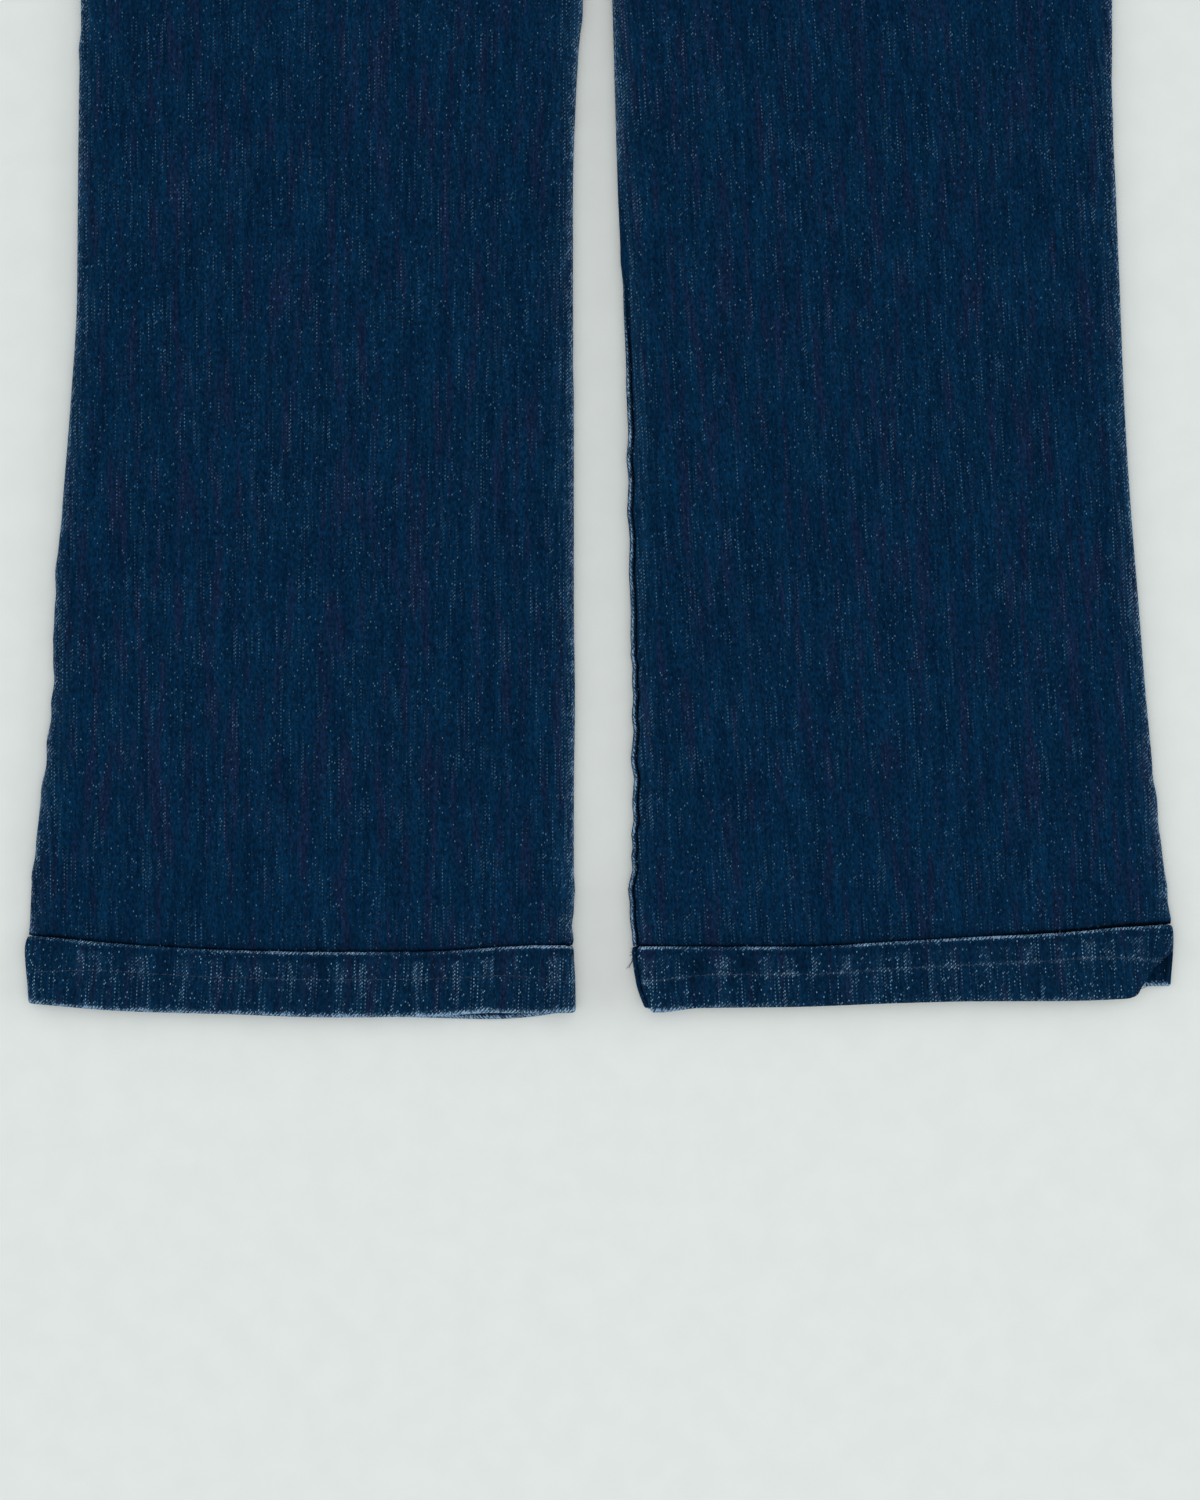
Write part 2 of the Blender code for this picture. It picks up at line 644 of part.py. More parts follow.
def make_button(material, collection):
    """A turned shank button: a flat disc with a raised, rounded rim."""
    dish = BUTTON_HEIGHT - BUTTON_RIM / 2
    profile = [(0.0, dish), (BUTTON_RADIUS - BUTTON_DISH_INSET, dish)]
    for degrees in BUTTON_RIM_ANGLES:
        angle = math.radians(degrees)
        x = BUTTON_RADIUS - BUTTON_RIM + BUTTON_RIM * math.cos(angle)
        profile.append((x, BUTTON_HEIGHT - BUTTON_RIM + BUTTON_RIM * math.sin(angle)))
    profile += [(BUTTON_UNDER_RADIUS, BUTTON_RIM), (BUTTON_SHANK_RADIUS, 0.0), (0.0, 0.0)]
    mesh = bpy.data.meshes.new("button")
    points = [(x, 0.0, z) for x, z in profile]
    mesh.from_pydata(points, [(i, i + 1) for i in range(len(points) - 1)], [])
    button = bpy.data.objects.new("button", mesh)
    button.data.materials.append(material)
    collection.objects.link(button)
    up = front_waist_seam(BUTTON_X) + WAISTBAND_WIDTH / 2
    base = waistband_face(LEFT, BUTTON_X, up) + SEAM_GAP
    button.location = world(BUTTON_X, up, base)
    screw = button.modifiers.new("Turned", "SCREW")
    screw.steps = BUTTON_STEPS
    screw.render_steps = BUTTON_STEPS
    screw.use_merge_vertices = True
    screw.merge_threshold = SAME_POINT
    screw.use_smooth_shade = True


def clear_scene():
    for old in list(bpy.data.objects):
        bpy.data.objects.remove(old, do_unlink=True)


def main():
    clear_scene()
    jeans = bpy.data.collections.new("jeans")
    bpy.context.scene.collection.children.link(jeans)
    leg_denim = make_material(LEG_DENIM)
    band_denim = make_material(BAND_DENIM)
    metal = make_material(BUTTON_METAL)
    for leg in LEGS:
        for layer in (FRONT, BACK):
            make_panel(leg, layer, leg_denim, jeans)
        for layer in (BAND_FRONT, BAND_BACK):
            make_hem_band(leg, layer, band_denim, jeans)
        make_side_panel(leg, leg_denim, jeans)
        make_yoke(leg, leg_denim, jeans)
        make_waistband_front(leg, band_denim, jeans)
        make_back_pocket(leg, leg_denim, jeans)
        side = leg.side
        front_loop = f"belt_loop_front_{leg.name}"
        make_belt_loop(front_loop, side * LOOP_FRONT, leg, WAISTBAND_FRONT, band_denim, jeans)
        back_loop = f"belt_loop_back_{leg.name}"
        make_belt_loop(back_loop, side * LOOP_BACK, leg, WAISTBAND_BACK, band_denim, jeans)
    make_waistband_back(band_denim, jeans)
    make_belt_loop("belt_loop_back_middle", 0.0, LEFT, WAISTBAND_BACK, band_denim, jeans)
    make_button(metal, jeans)


main()
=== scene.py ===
"""Looks of a pair of dark bootcut jeans laid flat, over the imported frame.

Metres, +Z up, X across the two legs and Y from the hems to the waist. Right and
left are the wearer's, so the right leg is at -X. Heights along the legs are
measured up from the hem line and called up.
"""

import math
from collections import namedtuple
from functools import partial

import bpy
import mathutils
import numpy as np
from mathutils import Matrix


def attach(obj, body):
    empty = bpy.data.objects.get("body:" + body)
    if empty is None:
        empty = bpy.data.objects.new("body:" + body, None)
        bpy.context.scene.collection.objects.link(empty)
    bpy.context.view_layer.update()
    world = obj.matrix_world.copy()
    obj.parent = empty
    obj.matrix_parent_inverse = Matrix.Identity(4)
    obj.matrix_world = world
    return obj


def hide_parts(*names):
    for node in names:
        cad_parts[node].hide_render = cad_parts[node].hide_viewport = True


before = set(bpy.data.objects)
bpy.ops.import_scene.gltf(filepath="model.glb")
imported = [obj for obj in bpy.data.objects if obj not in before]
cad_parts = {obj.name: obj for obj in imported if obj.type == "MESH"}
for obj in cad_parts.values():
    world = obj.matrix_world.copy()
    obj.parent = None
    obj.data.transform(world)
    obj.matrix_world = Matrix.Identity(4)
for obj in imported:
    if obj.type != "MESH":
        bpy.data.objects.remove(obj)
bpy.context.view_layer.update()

bl_info = {
    "name": "Bootcut jeans laid flat",
    "version": (1, 0, 0),
    "blender": (4, 5, 0),
    "location": "3D View > Sidebar > Jeans",
    "description": "Sews denim, stitching and a button onto the plain solids of flat bootcut jeans",
    "category": "Object",
}

# Lengths up the garment
HEM_TO_ORIGIN = 0.530
CROTCH = 0.800
CROTCH_BLEND = 0.018
FLY_BOTTOM = 0.868
FLY_RISE = 0.016
FLY_BLEND = 0.006
SCOOP_BOTTOM = 0.905
WAIST_SEAM_MIDDLE = {"front": 0.980, "back": 1.024}
WAIST_SEAM_SIDE = 1.002
WAIST_SEAM_CURVE = 1.8
WAISTBAND_WIDTH = 0.038
YOKE_SIDE = 0.035
YOKE_MIDDLE = 0.066
MOUTH_LEVEL = 0.950

# Widths across the garment
WAIST_HALF = 0.216
SCOOP_MOUTH = 0.115
FLY_LAP = 0.004
FLY_UNDERLAP = 0.012
FLY_LIFT_FULL = 0.018
FLY_LIFT_END = 0.050
BAND_UNDERLAP = 0.030
BAND_LIFT_FULL = 0.036
BAND_LIFT_END = 0.070
TUCK_UNDER = 0.012
YOKE_TUCK = 0.00027

# Heights off the ground of the layers' faces, seams and ridges, and where they change
SEAM_GAP = 0.0003
LEG_HEIGHT = 0.0046
SEAT_HEIGHT = 0.0074
WAISTBAND_HEIGHT = 0.0080
SEAT_START = 0.725
SEAT_FULL = 0.778
LEG_SEAM_HEIGHT = 0.0025
SEAT_SEAM_HEIGHT = 0.0037
HEM_BAND_SEAM_HEIGHT = 0.0031
WAISTBAND_SEAM_HEIGHT = 0.0046
HEM_EDGE_RIDGE = 0.0008
HEM_CORNER_RISE = 0.0034
EDGE_RIDGE_WIDTH = 0.010
EDGE_RIDGE_FROM = 0.040
EDGE_RIDGE_TO = 0.080
HEM_GROOVE = 0.0014
HEM_GROOVE_WIDTH = 0.005
HEM_RIDGE_HEIGHT = 0.0066
HEM_EDGE_HEIGHT = 0.0058
SIDE_PINCH = 0.0006
SIDE_PINCH_WIDTH = 0.0013

# How far each leg's front stands up along its side edges, over the seam allowances inside
EDGE_RIDGES = {"right_outer": 0.0018, "right_inner": 0.0022, "left_inner": 0.0022, "left_outer": 0.0002}

# Rolled edges, where a layer turns over to meet the other
ROLL = 0.0032
ROLL_SHARE = 0.10
ROLL_STEPS = 11
SEAM_AT_SIDE = math.radians(90)
SEAM_ON_TOP = math.radians(158)
SEAM_TURN_START = 0.270
SEAM_TURN_END = 0.400
SEAM_DIP = 0.0011
SEAM_DIP_PART = 0.10

# The seam over each hem band, with the dip and the sunk stitching under it
HEM_TUCK = 0.0016
RIDGE_DIP = 0.0005
RIDGE_DIP_DROP = 0.0030
RIDGE_DIP_WIDTH = 0.0011
HEM_STITCH_DROP = 0.0122
HEM_STITCH_END_DROP = 0.0040
HEM_STITCH_END_WIDTH = 0.022
STITCH_GROOVE = 0.00022
STITCH_GROOVE_WIDTH = 0.0008
PUCKER_TOP = 0.0020
PUCKER_FADE = 0.0060
PUCKER_LOW_SHARE = 0.30
GATHER_SHARE = 0.5
GATHER_WIDTH = 0.009

# Grids of points: where the legs' rows change, how many rows and columns there are, and first guesses
STRAIGHT_FROM = 0.060
STRAIGHT_TO = 0.872
PHOTOGRAPHED = 0.470
HEM_LEVEL = 0.030
WAIST_LEVEL = 0.99
MEETING_ROUNDS = 5
SIDE_PANEL_FROM = 0.40
SIDE_PANEL_STEPS = 24
YOKE_STEPS = 12
HEM_STEPS = 30
HEM_STEP_CURVE = {"front": 1.0, "back": 1.5}
WAISTBAND_STEPS = {"front": 16, "back": 12}
POCKET_STEPS = 41
LOOP_STEPS = 41
LOOP_COLUMNS = 9
FRONT_SPACING = 0.85
BACK_SPACING = 2.5
SIDE_PANEL_SPACING = 2
WAISTBAND_SPACING = 2
HEM_SPACING = {"front": 0.5, "back": 1.2}

# Small pieces
POCKET_WIDTH_TOP = 0.138
POCKET_WIDTH_FOOT = 0.118
POCKET_LENGTH = 0.126
POCKET_POINT = 0.020
POCKET_TOP = 0.932
POCKET_MIDDLE = 0.112
POCKET_SEAM_RISE = 0.00035
POCKET_SEAM_WIDTH = 0.0008
LOOP_WIDTH = 0.012
LOOP_BELOW = 0.009
LOOP_ABOVE = 0.0008
LOOP_ARCH = 0.0012
LOOP_EDGE_DROP = 0.0003
LOOP_EDGE_SHARE = 0.25
LOOP_FRONT = 0.078
LOOP_BACK = 0.118
BUTTON_X = 0.013
BUTTON_RADIUS = 0.0085
BUTTON_HEIGHT = 0.0032
BUTTON_BEVEL = 0.0007
BUTTON_SIDES = 48
# Each inset of the button's top, and how far it then rises
BUTTON_INSETS = ((0.0017, 0.0), (0.0004, -0.0006), (0.0030, 0.0003), (0.0004, -0.0002))

# Stitches: their size, and how far the rows lie from the edges and seams beside them
Stitch = namedtuple("Stitch", "length gap thickness", defaults=(0.0026, 0.0007, 0.00048))
TACK = Stitch(0.0027, 0.00005, 0.00042)
STITCH_DRAWN_OUT = 1.08
STITCH_START = 0.1
SCOOP_ROWS = (0.0025, 0.0085)
WAISTBAND_ROWS = (0.0035, WAISTBAND_WIDTH - 0.0035)
SEAT_ROWS = (0.0020, 0.0075)
SEAT_ROW_END = 0.222
POCKET_ROWS = (0.002, 0.008)
POCKET_HEM_ROWS = (0.012, 0.017)
POCKET_HEM_HALF = 0.060
CLEAR_OF_SEAM = 0.002
CLEAR_OF_LAP = 0.003
CLEAR_OF_SIDE = 0.005
CLEAR_OF_CROTCH = 0.006
CLEAR_OF_WAIST_END = 0.006
CLEAR_OF_FLY_END = 0.010
CLEAR_OF_SEAT_END = 0.010
FLY_ROWS = (0.0, 0.0060)
FLY_SEAM_ROWS = (0.0018, 0.0070)
FLY_EDGE_ROW = -0.0022
FLY_TOP = 0.976
FLY_CURVE_TOP = 0.905
FLY_CURVE_DEPTH = 0.030
FLY_CURVE_WIDTH = 0.036
HEM_STITCH_INSET = 0.0036
FRONT_LIFT = 0.0001
HEM_LIFT = 0.00002
BACK_LIFT = 0.00015
POCKET_LIFT = 0.00025
TACK_INSET = 0.003
TACK_HALF = 0.0014
TACK_LEAN = 0.0002
TACK_STEP = 0.0005
TACK_LIFT = 0.00024
TACKS_EACH_SIDE = 9

# The photograph's frame on the surface that the jeans lie on
FRAME_MIDDLE = (0.00045, -0.413)
FRAME_LENGTH = 0.675
SENSOR = 36.0
GROUND_SIZE = 24.0
GROUND_DROP = 0.0002
EVEN_LIGHT = (0.985, 1.0, 0.995)
COOL_LIGHT = (0.86, 0.98, 1.02)
WARM_LIGHT = (1.0, 0.95, 0.91)
LIT_MIDDLE = (0.0, -0.35, 0.0)

Leg = namedtuple("Leg", "name side")
RIGHT = Leg("right", -1)
LEFT = Leg("left", 1)
LEGS = (RIGHT, LEFT)


def table(kind, *rows):
    """A table of named rows from plain ones."""
    return tuple(kind(*row) for row in rows)


# The legs' side edges, from the hems to the waist
Outline = namedtuple("Outline", "up right_outer right_inner left_inner left_outer")
OUTLINE = table(
    Outline,
    (-0.006, -0.2560, -0.0104, 0.0236, 0.2564), (0.012, -0.2572, -0.0106, 0.0167, 0.2572),
    (0.027, -0.2583, -0.0113, 0.0147, 0.2583), (0.0325, -0.2574, -0.0113, 0.0145, 0.2584),
    (0.037, -0.2562, -0.0113, 0.0143, 0.2581), (0.042, -0.2559, -0.0113, 0.0142, 0.2572),
    (0.050, -0.2556, -0.0113, 0.0140, 0.2560), (0.095, -0.2511, -0.0113, 0.0153, 0.2507),
    (0.140, -0.2462, -0.0108, 0.0149, 0.2462), (0.185, -0.2448, -0.0113, 0.0140, 0.2426),
    (0.230, -0.2412, -0.0113, 0.0130, 0.2390), (0.275, -0.2376, -0.0113, 0.0126, 0.2363),
    (0.320, -0.2349, -0.0117, 0.0108, 0.2345), (0.365, -0.2345, -0.0117, 0.0086, 0.2327),
    (0.410, -0.2340, -0.0104, 0.0072, 0.2309), (0.455, -0.2331, -0.0072, 0.0059, 0.2309),
    (0.520, -0.2330, -0.0036, 0.0032, 0.2310), (0.600, -0.2345, -0.0012, 0.0012, 0.2330),
    (0.700, -0.2385, -0.0010, 0.0010, 0.2378), (0.782, -0.2430, -0.0010, 0.0010, 0.2428),
    (0.804, -0.2445, -0.0002, 0.0002, 0.2445), (0.875, -0.2500, -0.0002, 0.0002, 0.2500),
    (0.935, -0.2440, -0.0002, 0.0002, 0.2440), (0.970, -0.2310, -0.0002, 0.0002, 0.2310),
    (1.002, -0.2195, -0.0002, 0.0002, 0.2195), (1.062, -0.2085, -0.0002, 0.0002, 0.2085),
)

# Heights of the seam over each hem band and of the band's two lower edges
Hem = namedtuple("Hem", "x seam front back")
HEM = {
    RIGHT: table(
        Hem,
        (-0.2583, 0.0339, 0.0032, 0.0040), (-0.2110, 0.0295, -0.0005, 0.0005),
        (-0.1660, 0.0270, -0.0018, -0.0008), (-0.1210, 0.0261, -0.0032, -0.0022),
        (-0.0765, 0.0263, -0.0028, -0.0036), (-0.0480, 0.0281, -0.0012, -0.0042),
        (-0.0310, 0.0290, -0.0014, -0.0032), (-0.0110, 0.0293, -0.0009, -0.0001),
    ),
    LEFT: table(
        Hem,
        (0.0146, 0.0288, -0.0008, 0.0000), (0.0275, 0.0287, -0.0008, 0.0010),
        (0.0455, 0.0285, 0.0009, 0.0020), (0.0860, 0.0285, 0.0014, 0.0030), (0.1355, 0.0310, 0.0032, 0.0045),
        (0.1700, 0.0329, 0.0040, 0.0060), (0.2045, 0.0346, 0.0041, 0.0085), (0.2370, 0.0374, 0.0052, 0.0103),
        (0.2408, 0.0376, 0.0062, 0.0104), (0.2424, 0.0377, 0.0074, 0.0105), (0.2439, 0.0378, 0.0104, 0.0105),
        (0.2455, 0.0379, 0.0126, 0.0106), (0.2483, 0.0381, 0.0175, 0.0106), (0.2508, 0.0383, 0.0206, 0.0107),
        (0.2540, 0.0386, 0.0233, 0.0107), (0.2583, 0.0388, 0.0262, 0.0107),
    ),
}

# Bumps along a line: where each one is, how far it rises or falls, and its half width
Wave = namedtuple("Wave", "at rise width")

# Waves in the side edges, by height: one that rises stands out of the leg
RIPPLES = {
    "right_outer": table(
        Wave,
        (0.442, -0.0004, 0.004), (0.432, 0.0006, 0.005), (0.221, -0.0002, 0.005), (0.198, 0.0006, 0.006),
        (0.187, -0.0004, 0.004), (0.167, 0.0003, 0.003), (0.148, -0.0008, 0.005), (0.138, 0.0003, 0.003),
        (0.131, -0.0003, 0.003), (0.121, 0.0006, 0.004), (0.110, -0.0006, 0.005), (0.100, 0.0004, 0.004),
        (0.070, -0.0003, 0.004), (0.061, 0.0005, 0.004),
    ),
    "right_inner": table(
        Wave,
        (0.446, 0.0004, 0.005), (0.434, -0.0003, 0.005), (0.290, -0.0003, 0.008), (0.054, 0.0005, 0.005),
        (0.038, -0.0009, 0.004),
    ),
    "left_inner": table(
        Wave,
        (0.337, 0.0003, 0.005), (0.325, -0.0003, 0.005), (0.280, 0.0003, 0.006), (0.260, -0.0004, 0.005),
        (0.248, 0.0005, 0.004), (0.238, -0.0004, 0.004), (0.224, 0.0005, 0.004), (0.211, -0.0005, 0.006),
        (0.196, 0.0003, 0.005), (0.180, -0.0002, 0.004), (0.168, 0.0003, 0.003), (0.159, 0.0005, 0.002),
        (0.154, -0.0005, 0.003), (0.141, -0.0005, 0.004), (0.132, 0.0003, 0.003), (0.1255, -0.0005, 0.003),
        (0.113, 0.0009, 0.005), (0.104, -0.0006, 0.003), (0.093, 0.0004, 0.003), (0.085, -0.0004, 0.004),
        (0.080, 0.0007, 0.002), (0.0725, -0.0004, 0.003), (0.068, 0.0004, 0.002), (0.064, -0.0009, 0.003),
        (0.054, 0.0010, 0.004), (0.043, 0.0004, 0.004), (0.033, -0.0005, 0.003),
    ),
    "left_outer": table(
        Wave,
        (0.418, -0.0003, 0.005), (0.400, 0.0003, 0.006), (0.105, -0.0004, 0.005), (0.095, 0.0004, 0.005),
        (0.083, -0.0003, 0.004), (0.056, 0.0004, 0.004), (0.048, -0.0003, 0.003),
    ),
}

# Puckers where each hem band is gathered by its seam, by X: 1 is the full height
PUCKERS = {
    RIGHT: table(
        Wave,
        (-0.245, -0.10, 0.0035), (-0.233, 0.75, 0.0022), (-0.224, 0.45, 0.0030), (-0.214, -0.45, 0.0028),
        (-0.206, 0.70, 0.0034), (-0.195, -0.55, 0.0026), (-0.187, 0.60, 0.0026), (-0.1805, -0.35, 0.0020),
        (-0.175, 0.35, 0.0020), (-0.168, -0.40, 0.0022), (-0.162, 0.75, 0.0018), (-0.152, 0.45, 0.0028),
        (-0.1455, -0.35, 0.0022), (-0.139, 0.70, 0.0016), (-0.132, 0.40, 0.0024), (-0.124, -0.35, 0.0026),
        (-0.116, 0.75, 0.0030), (-0.106, 0.60, 0.0022), (-0.095, -0.30, 0.0040), (-0.082, 0.80, 0.0034),
        (-0.074, -0.70, 0.0026), (-0.064, 0.55, 0.0030), (-0.0575, -0.35, 0.0020), (-0.051, 0.85, 0.0034),
        (-0.0435, -0.50, 0.0024), (-0.037, 0.55, 0.0026), (-0.0295, -0.60, 0.0030), (-0.020, 0.75, 0.0036),
    ),
    LEFT: table(
        Wave,
        (0.022, 0.50, 0.0045), (0.036, 0.30, 0.0030), (0.0445, -1.00, 0.0048), (0.0565, 0.80, 0.0044),
        (0.0665, -0.90, 0.0030), (0.075, 0.45, 0.0026), (0.086, 0.70, 0.0036), (0.0915, -0.85, 0.0022),
        (0.097, 0.70, 0.0020), (0.1035, -0.40, 0.0026), (0.111, 0.75, 0.0036), (0.119, -0.30, 0.0026),
        (0.126, 0.55, 0.0026), (0.138, 0.60, 0.0028), (0.149, 0.30, 0.0026), (0.158, 0.50, 0.0034),
        (0.1655, -0.45, 0.0026), (0.172, 0.55, 0.0026), (0.183, 0.35, 0.0024), (0.1935, 0.80, 0.0036),
        (0.201, -0.45, 0.0024), (0.2075, 0.60, 0.0024), (0.2195, 0.80, 0.0036), (0.2255, -0.30, 0.0016),
        (0.229, 0.60, 0.0022), (0.242, 0.70, 0.0042),
    ),
}

# Soft folds: middle, half length and width, turn from X, rise or fall. The first in front are the solids'
Fold = namedtuple("Fold", "x up length width turn rise")
FRONT_FOLDS = table(
    Fold,
    (-0.156, 0.045, 0.060, 0.010, 3, -0.0004), (0.145, 0.432, 0.095, 0.016, -4, -0.0006),
    (0.135, 0.270, 0.110, 0.018, 72, 0.0004), (0.060, 0.210, 0.120, 0.016, 86, -0.0004),
    (-0.120, 0.330, 0.130, 0.024, 83, 0.0003), (-0.070, 0.560, 0.100, 0.018, 62, -0.0005),
    (0.078, 0.585, 0.090, 0.018, 112, -0.0005), (-0.062, 0.776, 0.062, 0.013, 22, -0.0006),
    (-0.050, 0.744, 0.050, 0.014, 34, 0.0004), (0.066, 0.782, 0.068, 0.014, 156, -0.0006),
    (0.048, 0.748, 0.048, 0.013, 148, 0.0004),
    (-0.190, 0.120, 0.045, 0.006, 68, 0.0002), (-0.055, 0.105, 0.060, 0.007, 96, -0.0002),
    (0.215, 0.140, 0.055, 0.007, 104, 0.0002), (0.042, 0.120, 0.070, 0.005, 92, -0.0003),
    (-0.205, 0.300, 0.080, 0.008, 85, -0.0002), (0.205, 0.330, 0.070, 0.008, 97, -0.0002),
    (-0.060, 0.400, 0.070, 0.009, 78, 0.0002), (0.090, 0.380, 0.060, 0.008, 100, 0.0002),
    (-0.150, 0.500, 0.080, 0.010, 12, 0.0004), (-0.140, 0.478, 0.070, 0.008, 15, -0.0004),
    (0.150, 0.515, 0.085, 0.010, 170, 0.0004), (0.160, 0.492, 0.060, 0.008, 166, -0.0003),
    (-0.100, 0.640, 0.080, 0.009, 48, 0.0004), (0.104, 0.660, 0.090, 0.009, 128, 0.0004),
    (-0.080, 0.815, 0.075, 0.006, 14, 0.0006), (-0.088, 0.800, 0.070, 0.006, 17, -0.0006),
    (-0.075, 0.842, 0.060, 0.005, 8, 0.0004), (0.082, 0.818, 0.075, 0.006, 167, 0.0006),
    (0.090, 0.802, 0.065, 0.006, 163, -0.0006), (0.078, 0.846, 0.058, 0.005, 172, 0.0004),
    (-0.178, 0.858, 0.050, 0.007, 152, -0.0004), (0.182, 0.852, 0.048, 0.007, 30, -0.0004),
)
BACK_FOLDS = table(
    Fold,
    (-0.120, 0.455, 0.090, 0.010, 6, 0.0005), (-0.110, 0.480, 0.070, 0.008, 10, 0.0003),
    (0.118, 0.462, 0.085, 0.010, 174, 0.0005), (0.126, 0.492, 0.060, 0.007, 169, 0.0003),
    (-0.070, 0.750, 0.075, 0.010, 28, 0.0005), (0.074, 0.756, 0.070, 0.010, 150, 0.0005),
    (-0.160, 0.250, 0.100, 0.012, 82, 0.0004), (0.090, 0.220, 0.110, 0.012, 95, 0.0004),
    (-0.060, 0.110, 0.070, 0.010, 75, 0.0003), (0.200, 0.130, 0.080, 0.010, 104, 0.0003),
)

# Width of the painted shadow in the crevice over each hem band's seam, on the front panels
Crevice = namedtuple("Crevice", "x width")
CREVICE_SHADOW_WIDTHS = {
    RIGHT: table(
        Crevice,
        (-0.257, 0.0008), (-0.245, 0.0013), (-0.200, 0.0011), (-0.110, 0.0008), (-0.058, 0.0006),
        (-0.034, 0.0007), (-0.020, 0.0010), (-0.011, 0.0019),
    ),
    LEFT: table(
        Crevice,
        (0.015, 0.0016), (0.040, 0.0010), (0.120, 0.0009), (0.200, 0.0012), (0.245, 0.0019), (0.257, 0.0019),
    ),
}
# Where the painted crevice shadow fades, in shares of its width up from the seam
CREVICE_START = 0.5
CREVICE_END = 1.3

# Wear of each hem band's lower fold and of the ridge under its seam: 1 is bare of indigo
Wear = namedtuple("Wear", "x amount")
FOLD_WEAR = {
    RIGHT: table(
        Wear,
        (-0.257, 0.62), (-0.190, 0.68), (-0.120, 0.70), (-0.060, 0.84), (-0.011, 0.66),
    ),
    LEFT: table(
        Wear,
        (0.021, 0.80), (0.033, 0.78), (0.046, 0.50), (0.075, 0.45), (0.110, 0.15), (0.160, 0.35),
        (0.215, 0.45), (0.240, 0.12), (0.246, 0.02), (0.257, 0.05),
    ),
}
RIDGE_WEAR = {
    RIGHT: table(
        Wear,
        (-0.257, 0.30), (-0.230, 0.50), (-0.190, 0.25), (-0.155, 0.56), (-0.115, 0.62), (-0.085, 0.25),
        (-0.055, 0.45), (-0.030, 0.68), (-0.011, 0.75),
    ),
    LEFT: table(
        Wear,
        (0.015, 0.50), (0.024, 0.75), (0.034, 0.50), (0.055, 0.38), (0.075, 0.60), (0.100, 0.20),
        (0.120, 0.65), (0.145, 0.50), (0.180, 0.75), (0.210, 0.55), (0.235, 0.60), (0.257, 0.40),
    ),
}

# Stripes of wear and of painted shade: by distance from an edge or a fold, and down from a hem band's seam
PANEL_EDGE_WEAR = table(Wave, (0.0, 0.42, 0.0070), (0.0, 0.12, 0.0014))
BAND_EDGE_WEAR = table(Wave, (0.0, 0.22, 0.0060), (0.0, 0.20, 0.0013))
RAW_EDGE_WEAR = table(Wave, (0.0, 0.60, 0.0010))
# Painted shade of a groove just inside the left band's raw edge, and where it lies up the band
RAW_EDGE_PAINTED_SHADE = table(Wave, (0.0018, 1.5, 0.0006))
RAW_EDGE_MIDDLE = table(Wave, (0.014, 1.0, 0.012))
RIDGE_STRIPE = table(Wave, (0.0006, 1.0, 0.0007))
# Painted shade in the dip under each band's ridge
DIP_PAINTED_SHADE = table(Wave, (RIDGE_DIP_DROP, 0.25, RIDGE_DIP_WIDTH))
FOLD_STRIPE = table(Wave, (0.0, 1.0, 0.0024))
# Pale wear on the strip beside the left inseam, and painted shade at its seam
STRIP_WEAR_AND_PAINTED_SHADE = table(Wave, (0.12, 0.72, 0.26), (0.0, -0.5, 0.015))
LOOP_EDGE_WEAR = table(Wave, (0.0, 0.45, 0.2))
POCKET_EDGE_WEAR = table(Wave, (0.0, 0.35, 0.0012))
# Puckers by the hem seams, on the panels and on the bands: paler tops from wear, darker troughs as painted
# shade
PANEL_GATHER_WEAR_AND_PAINTED_SHADE = 0.10
PANEL_GATHER_WIDTH = 0.010
PUCKER_WEAR_AND_PAINTED_SHADE = 0.52
PUCKER_WEAR_FROM = 0.002
PUCKER_WEAR_TO = 0.006
STITCH_WEAR = {RIGHT: 0.15, LEFT: 0.42}
STITCH_WEAR_WIDTH = 0.0009
STITCH_WEAR_LOSS = 1.5
# Painted shade over the rolled front beside the left inseam, where the seam lies on top
INSEAM_SHADE_FROM = 0.35
INSEAM_SHADE_TO = 1.10
RIGHT_BAND_LEAN = -3.0
BACK_FOLD_WEAR = 0.70
BACK_FOLD_WIDTH = 0.0014
# Painted shade on the inside faces of the hem bands
BAND_INSIDE_PAINTED_SHADE = -0.32

# Loose threads: where each starts and ends in plan, how far it bows, and its height at the start
Strand = namedtuple("Strand", "x up to_x to_up bow height")
STRANDS = table(
    Strand,
    (0.0152, 0.0232, 0.0124, 0.0184, 0.0006, 0.0030), (0.0156, 0.0226, 0.0136, 0.0188, -0.0004, 0.0028),
    (0.0164, 0.0262, 0.0138, 0.0242, 0.0008, 0.0046), (0.0170, 0.0272, 0.0140, 0.0258, -0.0006, 0.0052),
    (0.0166, 0.0250, 0.0146, 0.0226, 0.0008, 0.0046), (0.0174, 0.0290, 0.0146, 0.0276, 0.0005, 0.0050),
    (0.2470, 0.0110, 0.2440, 0.0092, 0.0005, 0.0030),
)
STRAND_RADIUS = 0.00016
STRAND_LOWEST = 0.0003
STRAND_SIDES = 5

# Soft lights: where each stands, its size, the setting that holds its power, and its tint
Light = namedtuple("Light", "name place size power tint")
LIGHTS = table(
    Light,
    ("window_light", (3.9, 0.6, 1.15), (4.4, 1.6), "window", COOL_LIGHT),
    ("second_window_light", (-3.9, 0.6, 1.15), (4.4, 1.6), "second_window", COOL_LIGHT),
    ("front_light", (0.0, -1.4, 1.6), (1.2, 0.8), "fill", WARM_LIGHT),
)

